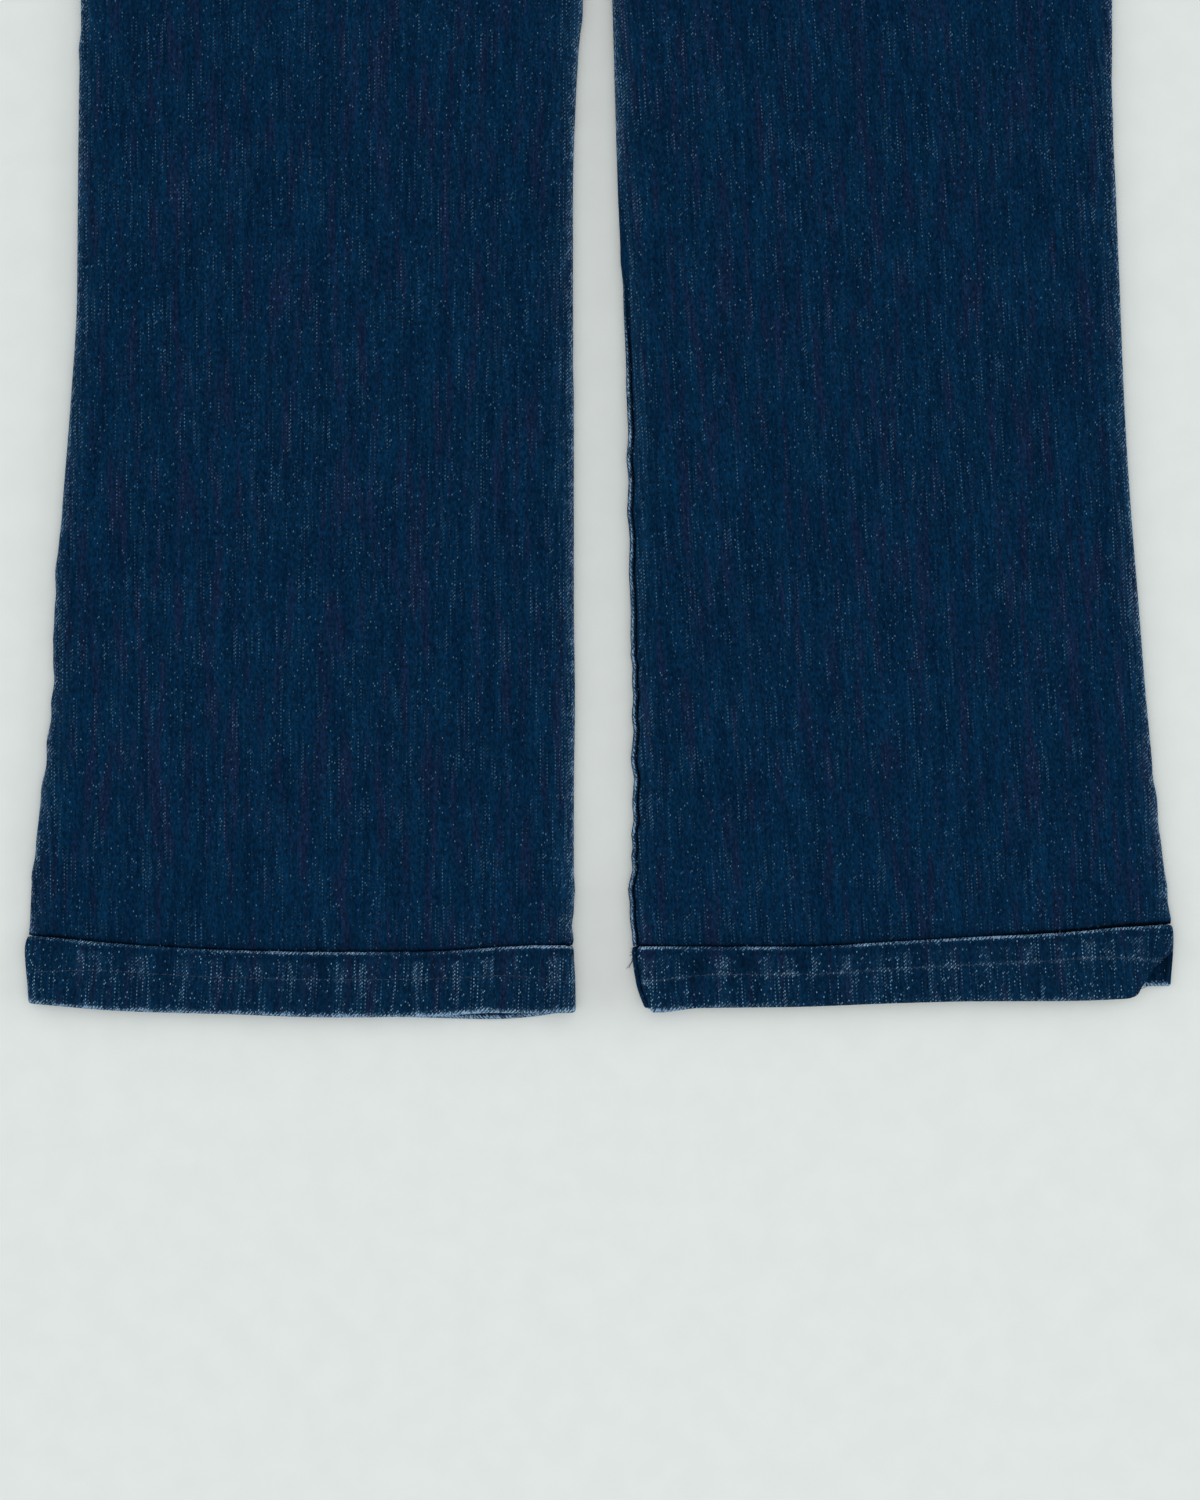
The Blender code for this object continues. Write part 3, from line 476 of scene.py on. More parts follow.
# Each denim's material and slot, how much of its weft shows, how strongly, its pale haze and its plain shade
Denim = namedtuple("Denim", "name slot flecks strength haze shade")
LEG_DENIM = Denim("Indigo denim", "indigo_denim", 1.0, 1.20, 0.002, 1.0)
BAND_DENIM = Denim("Worn indigo denim", "worn_indigo_denim", 1.6, 2.3, 0.004, 0.92)
BACK_PATTERN_SHIFT = 1.7

# Wear and painted shade of a piece of cloth, its inner side, and the lean of its threads in degrees
Look = namedtuple("Look", "wear lined lean inner_wear low_wear high_wear", defaults=(0.0,) * 6)
WAISTBAND_LOOK = Look(wear=0.08, low_wear=0.15, high_wear=0.45)
YOKE_LOOK = Look(wear=0.05, lined=1.0)


# Curves and blends, for single numbers and for arrays


def lerp(low, high, share):
    return low + (high - low) * share


def ramp(value, start, end):
    """0 before start, 1 after end, and a smooth rise between."""
    share = np.clip((value - start) / (end - start), 0.0, 1.0)
    return share * share * (3 - 2 * share)


def bump(distance, width):
    return np.exp(-((distance / width) ** 2))


def waves(rows, at):
    return sum(row.rise * bump(at - row.at, row.width) for row in rows)


def table_value(rows, column, at):
    """A smooth curve through a table's column, by its first one, that never overshoots its points."""
    knots = np.array([row[0] for row in rows])
    values = np.array([getattr(row, column) for row in rows])
    at = np.clip(at, knots[0], knots[-1])
    slopes = np.diff(values) / np.diff(knots)
    before, after = slopes[:-1], slopes[1:]
    product = before * after
    total = np.where(product > 0, before + after, 1.0)
    tangents = np.concatenate([slopes[:1], np.where(product > 0, 2 * product / total, 0.0), slopes[-1:]])
    i = np.clip(np.searchsorted(knots, at, side="right") - 1, 0, len(slopes) - 1)
    width = knots[i + 1] - knots[i]
    t = (at - knots[i]) / width
    start = values[i] * (1 + 2 * t) * (1 - t) ** 2 + tangents[i] * width * t * (1 - t) ** 2
    end = values[i + 1] * t * t * (3 - 2 * t) - tangents[i + 1] * width * t * t * (1 - t)
    return start + end


def spread(steps, start=0.0, end=1.0):
    """Even steps as one row of a grid."""
    return np.linspace(start, end, steps)[None, :]


def unit(vectors):
    return vectors / np.maximum(np.linalg.norm(vectors, axis=-1, keepdims=True), 1e-12)


def settings():
    return bpy.context.scene.jeans_cloth


# Outlines in plan


def hem_value(leg, column, x):
    return table_value(HEM[leg], column, x)


def edge(leg, which, up):
    """X of a leg's inner or outer edge, drawn in a little where the hem band is sewn on."""
    name = leg.name + "_" + which
    x = table_value(OUTLINE, name, up)
    outwards = leg.side if which == "outer" else -leg.side
    pinch = SIDE_PINCH * bump(up - hem_value(leg, "seam", x), SIDE_PINCH_WIDTH)
    return x + outwards * (settings().ripple_depth * waves(RIPPLES[name], up) - pinch)


def from_edges(leg, x, up):
    """Distances from a leg's inner edge and from its outer one."""
    return [np.abs(x - edge(leg, which, up)) for which in ("inner", "outer")]


def waist_share(x):
    return np.clip(np.abs(x) / WAIST_HALF, 0.0, 1.0)


def waist_seam(layer_name, x):
    return lerp(WAIST_SEAM_MIDDLE[layer_name], WAIST_SEAM_SIDE, waist_share(x) ** WAIST_SEAM_CURVE)


def yoke_seam(x):
    return lerp(WAIST_SEAM_MIDDLE["back"] - YOKE_MIDDLE, WAIST_SEAM_SIDE - YOKE_SIDE, waist_share(x))


def scoop_width():
    return table_value(OUTLINE, "left_outer", SCOOP_BOTTOM) - SCOOP_MOUTH


def scoop(x):
    """The front pocket's mouth, a quarter of an ellipse from the waist seam to the side seam."""
    wide = scoop_width()
    share = np.clip((SCOOP_MOUTH + wide - np.abs(x)) / wide, 0.0, 1.0)
    return lerp(SCOOP_BOTTOM, waist_seam("front", SCOOP_MOUTH), 1 - np.sqrt(1 - share * share))


# Heights off the ground


def fold_height(folds, x, up):
    height = 0.0
    for fold in folds:
        turn = math.radians(fold.turn)
        lengthways = (x - fold.x) * math.cos(turn) + (up - fold.up) * math.sin(turn)
        sideways = (up - fold.up) * math.cos(turn) - (x - fold.x) * math.sin(turn)
        height += fold.rise * bump(lengthways, fold.length) * bump(sideways, fold.width)
    return height * settings().crease_depth


def hem_stitch_drop(leg, x):
    """How far under its seam a hem band's stitching runs."""
    fall = sum(bump(x - HEM[leg][end].x, HEM_STITCH_END_WIDTH) for end in (0, -1))
    return HEM_STITCH_DROP + HEM_STITCH_END_DROP * fall


def puckers(leg, x, drop):
    """Puckers at a distance under a hem band's seam: 1 on the highest, less than 0 in a trough."""
    lowest = hem_stitch_drop(leg, x)
    fading = 1 - ramp(drop, lowest - PUCKER_FADE / 2, lowest + PUCKER_FADE)
    share = ramp(drop, -PUCKER_TOP, PUCKER_TOP) * lerp(PUCKER_LOW_SHARE, 1.0, fading)
    return waves(PUCKERS[leg], x) * share


def seat(up):
    return ramp(up, SEAT_START, SEAT_FULL)


def seat_lift():
    return settings().cloth_wall + SEAM_GAP


def edge_ridge(leg, which, up):
    """How far a leg's front stands up along a side edge, which is lower down at the hem."""
    low = HEM_EDGE_RIDGE + (HEM_CORNER_RISE if which == "inner" else 0.0)
    return lerp(low, EDGE_RIDGES[leg.name + "_" + which], ramp(up, EDGE_RIDGE_FROM, EDGE_RIDGE_TO))


def flat_back_face(leg, x, up):
    return lerp(0.0, seat_lift(), seat(up))


def back_face(leg, x, up):
    """The underside of the back layer, with shallow creases that lift it off the ground."""
    return flat_back_face(leg, x, up) + fold_height(BACK_FOLDS, x, up)


def front_face(leg, x, up):
    """The top of the front layer, which sinks into the hem seam and rises over the fly."""
    inner, outer = from_edges(leg, x, up)
    ridge = edge_ridge(leg, "outer", up) * bump(outer, EDGE_RIDGE_WIDTH)
    ridge = ridge + edge_ridge(leg, "inner", up) * bump(inner, EDGE_RIDGE_WIDTH)
    height = lerp(LEG_HEIGHT + ridge, SEAT_HEIGHT, seat(up))
    rise = up - hem_value(leg, "seam", x)
    groove = HEM_GROOVE * bump(rise, HEM_GROOVE_WIDTH)
    gather = settings().pucker_depth * GATHER_SHARE * waves(PUCKERS[leg], x) * bump(rise, GATHER_WIDTH)
    away_from_edges = ramp(np.minimum(outer, inner + seat(up)), 0.0, EDGE_RIDGE_WIDTH)
    height = height + (fold_height(FRONT_FOLDS, x, up) + gather - groove) * away_from_edges
    if leg is LEFT:
        lift = ramp(up, FLY_BOTTOM - 2 * FLY_RISE, FLY_BOTTOM - FLY_RISE / 4)
        height = height + seat_lift() * lift * (1 - ramp(x, FLY_LIFT_FULL, FLY_LIFT_END))
    return height


def side_panel_face(leg, x, up):
    return SEAT_HEIGHT - seat_lift()


def band_face(leg, x, up):
    """The top of a hem band: a ridge under its seam, then puckers down to the stitching."""
    drop = hem_value(leg, "seam", x) - up
    below = np.clip(drop / (HEM[leg][0].seam - HEM[leg][0].front), 0.0, 1.0)
    height = lerp(HEM_RIDGE_HEIGHT, HEM_EDGE_HEIGHT, below)
    height = height + HEM_CORNER_RISE * bump(x - edge(leg, "inner", up), EDGE_RIDGE_WIDTH)
    height = height - RIDGE_DIP * bump(drop - RIDGE_DIP_DROP, RIDGE_DIP_WIDTH)
    height = height - STITCH_GROOVE * bump(drop - hem_stitch_drop(leg, x), STITCH_GROOVE_WIDTH)
    return height + settings().pucker_depth * puckers(leg, x, drop)


def waistband_face(leg, x, up):
    if leg is RIGHT:
        return WAISTBAND_HEIGHT
    lift = settings().doubled_wall + SEAM_GAP
    return WAISTBAND_HEIGHT + lift * (1 - ramp(x, BAND_LIFT_FULL, BAND_LIFT_END))


# The layers, and the places of points on their outer faces

Layer = namedtuple("Layer", "name face seam_height seat_seam_height underlap", defaults=(0.0,))
FRONT = Layer("front", front_face, LEG_SEAM_HEIGHT, SEAT_SEAM_HEIGHT, FLY_UNDERLAP)
BACK = Layer("back", back_face, LEG_SEAM_HEIGHT, SEAT_SEAM_HEIGHT)
SIDE_PANEL = Layer("front", side_panel_face, LEG_SEAM_HEIGHT, SEAT_SEAM_HEIGHT, FLY_UNDERLAP)
BAND_FRONT = Layer("front", band_face, HEM_BAND_SEAM_HEIGHT, HEM_BAND_SEAM_HEIGHT)
BAND_BACK = Layer("back", flat_back_face, HEM_BAND_SEAM_HEIGHT, HEM_BAND_SEAM_HEIGHT)
WAISTBAND_FRONT = Layer("front", waistband_face, WAISTBAND_SEAM_HEIGHT, WAISTBAND_SEAM_HEIGHT, BAND_UNDERLAP)
WAISTBAND_BACK = Layer("back", flat_back_face, WAISTBAND_SEAM_HEIGHT, WAISTBAND_SEAM_HEIGHT)


def seam_on_top(up):
    """1 near the hem, where the left leg's inseam lies on top of it, and 0 where it lies at the side."""
    return 1 - ramp(up, SEAM_TURN_START, SEAM_TURN_END)


def rolled(leg, layer, which, part, up):
    """A point of a rolled edge, from the seam at part 0 to the flat cloth at part 1."""
    x_edge = edge(leg, which, up)
    inwards = -leg.side if which == "outer" else leg.side
    x_flat = x_edge + inwards * ROLL
    on_top = seam_on_top(up) if leg is LEFT and which == "inner" else 0.0
    side = 1 if layer.name == "front" else -1
    seam = lerp(SEAM_AT_SIDE, SEAM_ON_TOP, on_top) + side * SEAM_GAP / 2 / ROLL
    angle = lerp(seam, math.pi if side > 0 else 0.0, part)
    x = x_edge + inwards * ROLL * (1 - np.sin(angle))
    flat = layer.face(leg, x_flat, up)
    middle = lerp(layer.seam_height, layer.seat_seam_height, seat(up))
    height = np.abs(flat - middle)
    if side < 0:
        height = np.where(angle > SEAM_AT_SIDE, front_face(leg, x_flat, up) - middle, height)
    z = middle - height * np.cos(angle) - SEAM_DIP * on_top * bump(part, SEAM_DIP_PART)
    if which == "inner":
        opened = ramp(up, CROTCH - CROTCH_BLEND, CROTCH)
        x = lerp(x, x_edge + inwards * ROLL * part, opened)
        z = lerp(z, flat, opened)
    return x, z


def place(leg, layer, across, up):
    """X and Z at a share of the way across a leg, from its inner edge to its outer one.

    Over the fly a front layer runs past the middle, where one side laps the other.
    """
    across, up = np.broadcast_arrays(np.asarray(across, float), np.asarray(up, float))
    inner = edge(leg, "inner", up)
    outer = edge(leg, "outer", up) - leg.side * ROLL
    share = (across - ROLL_SHARE) / (1 - 2 * ROLL_SHARE)
    on_roll = inner + leg.side * ROLL * across / ROLL_SHARE
    x = np.where(across < ROLL_SHARE, on_roll, lerp(inner + leg.side * ROLL, outer, share))
    lapping = 0.0
    if layer.underlap:
        lap = FLY_LAP if leg is LEFT else layer.underlap
        lapping = ramp(up, FLY_BOTTOM, FLY_BOTTOM + FLY_BLEND)
        x = lerp(x, lerp(inner - leg.side * lap, outer, across / (1 - ROLL_SHARE)), lapping)
    z = layer.face(leg, x, up)
    for which, part, turned in (
        ("inner", across / ROLL_SHARE, (across < ROLL_SHARE) & (lapping == 0)),
        ("outer", (1 - across) / ROLL_SHARE, across > 1 - ROLL_SHARE),
    ):
        rolled_x, rolled_z = rolled(leg, layer, which, np.clip(part, 0.0, 1.0), up)
        x = np.where(turned, rolled_x, x)
        z = np.where(turned, rolled_z, z)
    return x, z


def meet(leg, layer, across, line, up):
    """The height at which a column of a leg meets a line drawn in plan, starting near up."""
    for _ in range(MEETING_ROUNDS):
        up = line(place(leg, layer, across, up)[0])
    return up


def meet_hem(leg, layer, across, column="seam", up=HEM_LEVEL):
    return meet(leg, layer, across, partial(hem_value, leg, column), up)


def meet_waist(leg, layer, across):
    return meet(leg, layer, across, partial(waist_seam, layer.name), WAIST_LEVEL)


def sheet_points(x, up, z):
    x, up, z = np.broadcast_arrays(x, up, z)
    return np.stack([x, up - HEM_TO_ORIGIN, z], axis=-1)


def on_layer(leg, layer, across, up):
    """X and the points of a grid on a layer's outer face."""
    x, z = place(leg, layer, across, up)
    return x, sheet_points(x, up, z)


def even_columns(leg, spacing):
    """Columns that many grid steps apart at the hem, with the steps of the rolled edges on either side."""
    width = abs(edge(leg, "outer", HEM_LEVEL) - edge(leg, "inner", HEM_LEVEL))
    steps = np.linspace(0.0, ROLL_SHARE, ROLL_STEPS)
    between = np.linspace(ROLL_SHARE, 1 - ROLL_SHARE, int(width / (settings().grid * spacing)) + 1)
    return np.unique(np.concatenate([steps, between, 1 - steps]).round(6))[:, None]


def panel_rows(low, high, low_steps, high_steps, seen_to, seen, far):
    """Heights up a leg panel: close rows at its ends, even ones where it is seen, and wider ones above."""
    grid = settings().grid
    parts = (
        lerp(low, STRAIGHT_FROM, spread(low_steps)[:, :-1]),
        np.arange(STRAIGHT_FROM, seen_to, grid * seen),
        np.arange(seen_to, STRAIGHT_TO, grid * far),
        lerp(STRAIGHT_TO, high, spread(high_steps)),
    )
    return np.concatenate([np.broadcast_to(part, (len(low), part.shape[-1])) for part in parts], axis=1)


# Turning points into closed pieces


def along(points, axis):
    """Distance walked along a grid, from 0 at its start."""
    steps = np.linalg.norm(np.diff(points, axis=axis), axis=-1)
    start = np.zeros_like(np.take(steps, [0], axis=axis))
    return np.concatenate([start, np.cumsum(steps, axis=axis)], axis=axis)


def fold_arc(outer, inner, beyond, steps):
    """Half a turn of cloth from an outer edge round to the inner one, one column at a time."""
    middle, half = (outer + inner)[:, None] / 2, (outer - inner)[:, None] / 2
    reach = unit(beyond)[:, None] * np.linalg.norm(half, axis=-1, keepdims=True)
    angles = math.pi * np.arange(1, steps + 1)[:, None] / (steps + 1)
    return middle + np.cos(angles) * half + np.sin(angles) * reach


def new_piece(name, points, faces, material):
    """A mesh object at the origin, smooth but for its sharp corners."""
    mesh = bpy.data.meshes.new(name)
    mesh.from_pydata(points.tolist(), [], faces)
    mesh.materials.append(material)
    piece = bpy.data.objects.new(name, mesh)
    bpy.context.scene.collection.objects.link(piece)
    bpy.ops.object.select_all(action="DESELECT")
    bpy.context.view_layer.objects.active = piece
    piece.select_set(True)
    bpy.ops.object.shade_smooth_by_angle(angle=math.radians(50))
    return piece


def join(name, parts):
    """One piece of thread from many small closed shapes, each with its points and its faces."""
    points, faces, first = [], [], 0
    for part_points, part_faces in parts:
        points.append(part_points)
        faces += [[i + first for i in face] for face in part_faces]
        first += len(part_points)
    piece = new_piece(name, np.concatenate(points), faces, thread_material())
    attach(piece, "root")


def add_values(mesh, name, values):
    attribute = mesh.attributes.new(name, "FLOAT", "POINT")
    attribute.data.foreach_set("value", np.ascontiguousarray(values, dtype=np.float32).ravel())


def add_uv(mesh, u, v):
    corners = np.zeros(len(mesh.loops), dtype=np.int32)
    mesh.loops.foreach_get("vertex_index", corners)
    uv = np.stack([u.ravel()[corners], v.ravel()[corners]], axis=-1)
    mesh.uv_layers.new(name="Threads").data.foreach_set("uv", uv.astype(np.float32).ravel())


def lay_sheet(piece, node):
    """Puts a piece in place of its node: hides the node and hangs the piece from the root."""
    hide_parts(node)
    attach(piece, "root")


def sheet_faces(columns, rows, folds):
    """Faces round the columns of a closed sheet, and across its first column and its last."""
    index = np.arange(columns * 2 * (rows + folds)).reshape(columns, -1)
    after = np.roll(index, -1, axis=1)
    faces = np.stack([index[:-1], index[1:], after[1:], after[:-1]], axis=-1).reshape(-1, 4).tolist()
    for ring, order in ((index[0], 1), (index[-1], -1)):
        back = ring[rows + folds : 2 * rows + folds][::-1]
        cap = [[ring[r], ring[r + 1], back[r + 1], back[r]] for r in range(rows - 1)]
        if folds:
            cap += [ring[rows - 1 : rows + folds + 1], [ring[0], back[0], *ring[2 * rows + folds :]]]
        faces += [[int(i) for i in face[::order]] for face in cap]
    return faces


def make_sheet(name, node, points, denim, rests_on=("floor",), doubled=False, look=Look()):
    """A closed piece of cloth from the points of its outer face, by column and row.

    Cloth that is doubled has rounded folds at its low and high edges, and other cloth is cut
    there. What rests on the floor faces down. The UV map is in metres across and along the
    cloth's threads.
    """
    cloth = settings()
    wall = cloth.doubled_wall if doubled else cloth.cloth_wall
    folds = cloth.fold_steps if doubled else 0
    down = "floor" in rests_on
    columns, rows = points.shape[:2]
    normals = unit(np.cross(np.gradient(points, axis=0), np.gradient(points, axis=1)))
    facing = (normals[..., 2].mean() < 0) == down
    inner = points - wall * (normals if facing else -normals)
    high_arc = fold_arc(points[:, -1], inner[:, -1], points[:, -1] - points[:, -2], folds)
    low_arc = fold_arc(inner[:, 0], points[:, 0], points[:, 0] - points[:, 1], folds)
    all_points = np.concatenate([points, high_arc, inner[:, ::-1], low_arc], axis=1)

    def around(*values):
        """Values on the face, over the high fold, back along the inside and round the low fold."""
        sizes = (rows, folds, rows, folds)
        face, high, inside, low = (np.broadcast_to(v, (columns, size)) for v, size in zip(values, sizes))
        return np.concatenate([face, high, inside[:, ::-1], low], axis=1)

    u = along(points, 0) * np.sign(points[-1, 0, 0] - points[0, 0, 0])
    u += (points[:, :, 0] - u)[columns // 2]
    v = points[:, :, 1] + HEM_TO_ORIGIN
    turn = math.pi * wall / 2
    high_v = v[:, -1:] + turn * np.arange(1, folds + 1) / (folds + 1)
    low_v = v[:, :1] - turn * np.arange(folds, 0, -1) / (folds + 1)
    v = around(v, high_v, 2 * v[:, :1] - turn - v if doubled else v, low_v)
    u = around(u, u[:, -1:], u, u[:, :1]) + math.tan(math.radians(look.lean)) * v
    u = u + (BACK_PATTERN_SHIFT if down else 0.0)

    faces = sheet_faces(columns, rows, folds)
    if not facing:
        faces = [face[::-1] for face in faces]

    material = bpy.data.materials.get(denim.name) or denim_material(denim)
    piece = new_piece(name, all_points.reshape(-1, 3), faces, material)
    # Wear pales the cloth, and values below 0 are painted shade, which darkens it
    add_values(piece.data, "wear", around(look.wear, look.high_wear, look.inner_wear, look.low_wear))
    add_values(piece.data, "inside", around(0.0, 0.0, look.lined, 0.0))
    add_uv(piece.data, u, v)
    lay_sheet(piece, node)


# Materials


class Nodes:
    """A node tree, with short ways to add a node and feed its sockets."""

    def __init__(self, tree):
        self.tree = tree

    def add(self, kind, inputs=None, **values):
        node = self.tree.nodes.new("ShaderNode" + kind)
        for name, value in values.items():
            setattr(node, name, value)
        for key, value in (inputs or {}).items():
            self.feed(node.inputs[key], value)
        return node

    def feed(self, socket, value):
        if isinstance(value, bpy.types.NodeSocket):
            self.tree.links.new(value, socket)
        elif socket.type == "RGBA":
            socket.default_value = (*value[:3], 1.0)
        else:
            socket.default_value = value

    def math(self, operation, *values, clamp=False):
        return self.add("Math", dict(enumerate(values)), operation=operation, use_clamp=clamp).outputs[0]

    def times(self, first, second):
        return self.math("MULTIPLY", first, second)

    def times_plus(self, first, second, third):
        return self.math("MULTIPLY_ADD", first, second, third)

    def fit(self, value, low, high, to_low=0.0, to_high=1.0):
        """A value between low and high fitted smoothly to another range."""
        inputs = {"Value": value, "From Min": low, "From Max": high, "To Min": to_low, "To Max": to_high}
        return self.add("MapRange", inputs, interpolation_type="SMOOTHSTEP").outputs[0]

    def mix(self, share, first, second, blend="MIX"):
        inputs = {"Factor": share, 6: first, 7: second}
        return self.add("Mix", inputs, data_type="RGBA", blend_type=blend).outputs[2]

    def vector(self, x=0.0, y=0.0, z=0.0):
        return self.add("CombineXYZ", {0: x, 1: y, 2: z}).outputs[0]

    def split(self, vector):
        return self.add("SeparateXYZ", {0: vector}).outputs

    def noise(self, vector, scale=1.0, detail=2.0, roughness=0.5):
        inputs = {"Vector": vector, "Scale": scale, "Detail": detail, "Roughness": roughness}
        return self.add("TexNoise", inputs, noise_dimensions="3D").outputs[0]

    def bump(self, strength, distance, height):
        inputs = {"Strength": strength, "Distance": distance, "Height": height}
        return self.add("Bump", inputs).outputs[0]

    def leave(self, *values):
        """Puts values out of a group."""
        end = self.tree.nodes.new("NodeGroupOutput")
        for socket, value in zip(end.inputs, values):
            self.feed(socket, value)


def new_group(name, inputs, outputs):
    """An empty shader group with its sockets, and the values that come in."""
    tree = bpy.data.node_groups.new(name, "ShaderNodeTree")
    for label, kind, value in inputs:
        socket = tree.interface.new_socket(label, in_out="INPUT", socket_type="NodeSocket" + kind)
        if value is not None:
            socket.default_value = value
    for label in outputs:
        tree.interface.new_socket(label, in_out="OUTPUT", socket_type="NodeSocketFloat")
    return Nodes(tree), tree.nodes.new("NodeGroupInput").outputs


def use_group(nodes, name, make, inputs):
    """The values that a shared group puts out. It is made the first time."""
    if name not in bpy.data.node_groups:
        make(name)
    return nodes.add("Group", inputs, node_tree=bpy.data.node_groups[name]).outputs


def make_twill(name):
    """Warp-faced twill: pale weft shows as dots between the warp yarns, in steps that climb to the right.

    A few dots show anywhere, more where the cloth is worn, and some yarns show long rows of them.
    """
    inputs = (
        ("Threads", "Vector", None),
        ("Wear", "Float", 0.0),
        ("Flecks", "Float", 1.0),
        ("Warp spacing", "Float", 0.00062),
        ("Repeat", "Float", 0.0016),
    )
    nodes, enter = new_group(name, inputs, ("Dot", "Yarn shade", "Chance", "Height"))
    threads, wear, flecks, spacing, repeat = enter[:5]
    at = nodes.split(threads)
    warp = nodes.math("DIVIDE", at[0], spacing)
    column = nodes.math("FLOOR", warp)
    pick = nodes.times_plus(column, -1 / 3, nodes.math("DIVIDE", at[1], repeat))
    side = nodes.math("PINGPONG", nodes.math("FRACT", warp), 0.5)
    end = nodes.math("PINGPONG", nodes.math("FRACT", pick), 0.5)
    shape = nodes.times(nodes.fit(side, 0.04, 0.36), nodes.fit(end, 0.18, 0.45))
    crossing = nodes.vector(column, nodes.math("FLOOR", pick))
    cell = nodes.add("TexWhiteNoise", {"Vector": crossing}, noise_dimensions="2D")
    luck = nodes.add("SeparateColor", {0: cell.outputs["Color"]}).outputs
    share = nodes.times(nodes.fit(wear, -0.10, 0.75, 0.055, 0.30), flecks)
    rare = nodes.math("SUBTRACT", luck[0], nodes.math("SUBTRACT", 1.0, share))
    chance = nodes.math("DIVIDE", rare, nodes.math("MAXIMUM", share, 0.03), clamp=True)
    chance = nodes.math("POWER", chance, 2.2)
    run = nodes.noise(nodes.vector(nodes.times(column, 7.31), nodes.times(at[1], 40.0)), 1.0, 1.0)
    line = nodes.fit(nodes.times_plus(wear, 0.34, run), 0.57, 0.79)
    line = nodes.times(line, nodes.math("MINIMUM", flecks, 1.25))
    line = nodes.times(line, nodes.fit(luck[1], 0.0, 1.0, 0.22, 1.0))
    dot = nodes.times(shape, nodes.math("MAXIMUM", chance, line))
    nodes.leave(dot, luck[2], luck[1], nodes.math("SUBTRACT", side, nodes.times(shape, 0.5)))


def make_streaks(name):
    """Long uneven bands of lighter and browner yarn along the warp, and a fine grain."""
    nodes, enter = new_group(name, (("Threads", "Vector", None),), ("Tone", "Yarn", "Brown", "Grain"))
    at = nodes.split(enter[0])

    def stretched(across, down, shift, detail):
        yarns = nodes.vector(nodes.times(at[0], across), nodes.times(at[1], down), shift)
        return nodes.noise(yarns, 1.0, detail)

    nodes.leave(
        stretched(150.0, 26.0, 0.0, 3.0),
        stretched(700.0, 26.0, 4.7, 1.0),
        stretched(240.0, 24.0, 7.3, 2.0),
        stretched(1150.0, 520.0, 3.1, 1.0),
    )


def make_rubbed(name):
    """Worn cloth: wear from 0 to 1 rubs the indigo off, here and there at first and then all over."""
    inputs = (("Threads", "Vector", None), ("Wear", "Float", 0.0), ("Chance", "Float", 0.0))
    nodes, enter = new_group(name, inputs, ("Pale",))
    threads, wear, chance = enter[:3]
    at = nodes.split(threads)
    slant = nodes.times_plus(at[1], -0.8, at[0])
    rib = nodes.math("PINGPONG", nodes.math("FRACT", nodes.times(slant, 620.0)), 0.5)
    patch = nodes.noise(threads, 1400.0, 2.0, 0.6)
    uneven = nodes.noise(threads, 160.0, 2.0, 0.6)
    shows = nodes.times_plus(rib, 0.9, nodes.times(patch, 1.6))
    shows = nodes.times_plus(chance, 0.35, nodes.math("ADD", shows, uneven))
    pale = nodes.fit(nodes.math("SUBTRACT", shows, nodes.times_plus(wear, -1.15, 2.40)), -0.10, 0.42)
    nodes.leave(nodes.math("MULTIPLY", pale, nodes.fit(wear, 0.20, 0.58), clamp=True))


def new_material(name):
    """A material, the nodes of its tree and its shader's sockets."""
    material = bpy.data.materials.new(name)
    material.use_nodes = True
    return material, Nodes(material.node_tree), material.node_tree.nodes["Principled BSDF"].inputs


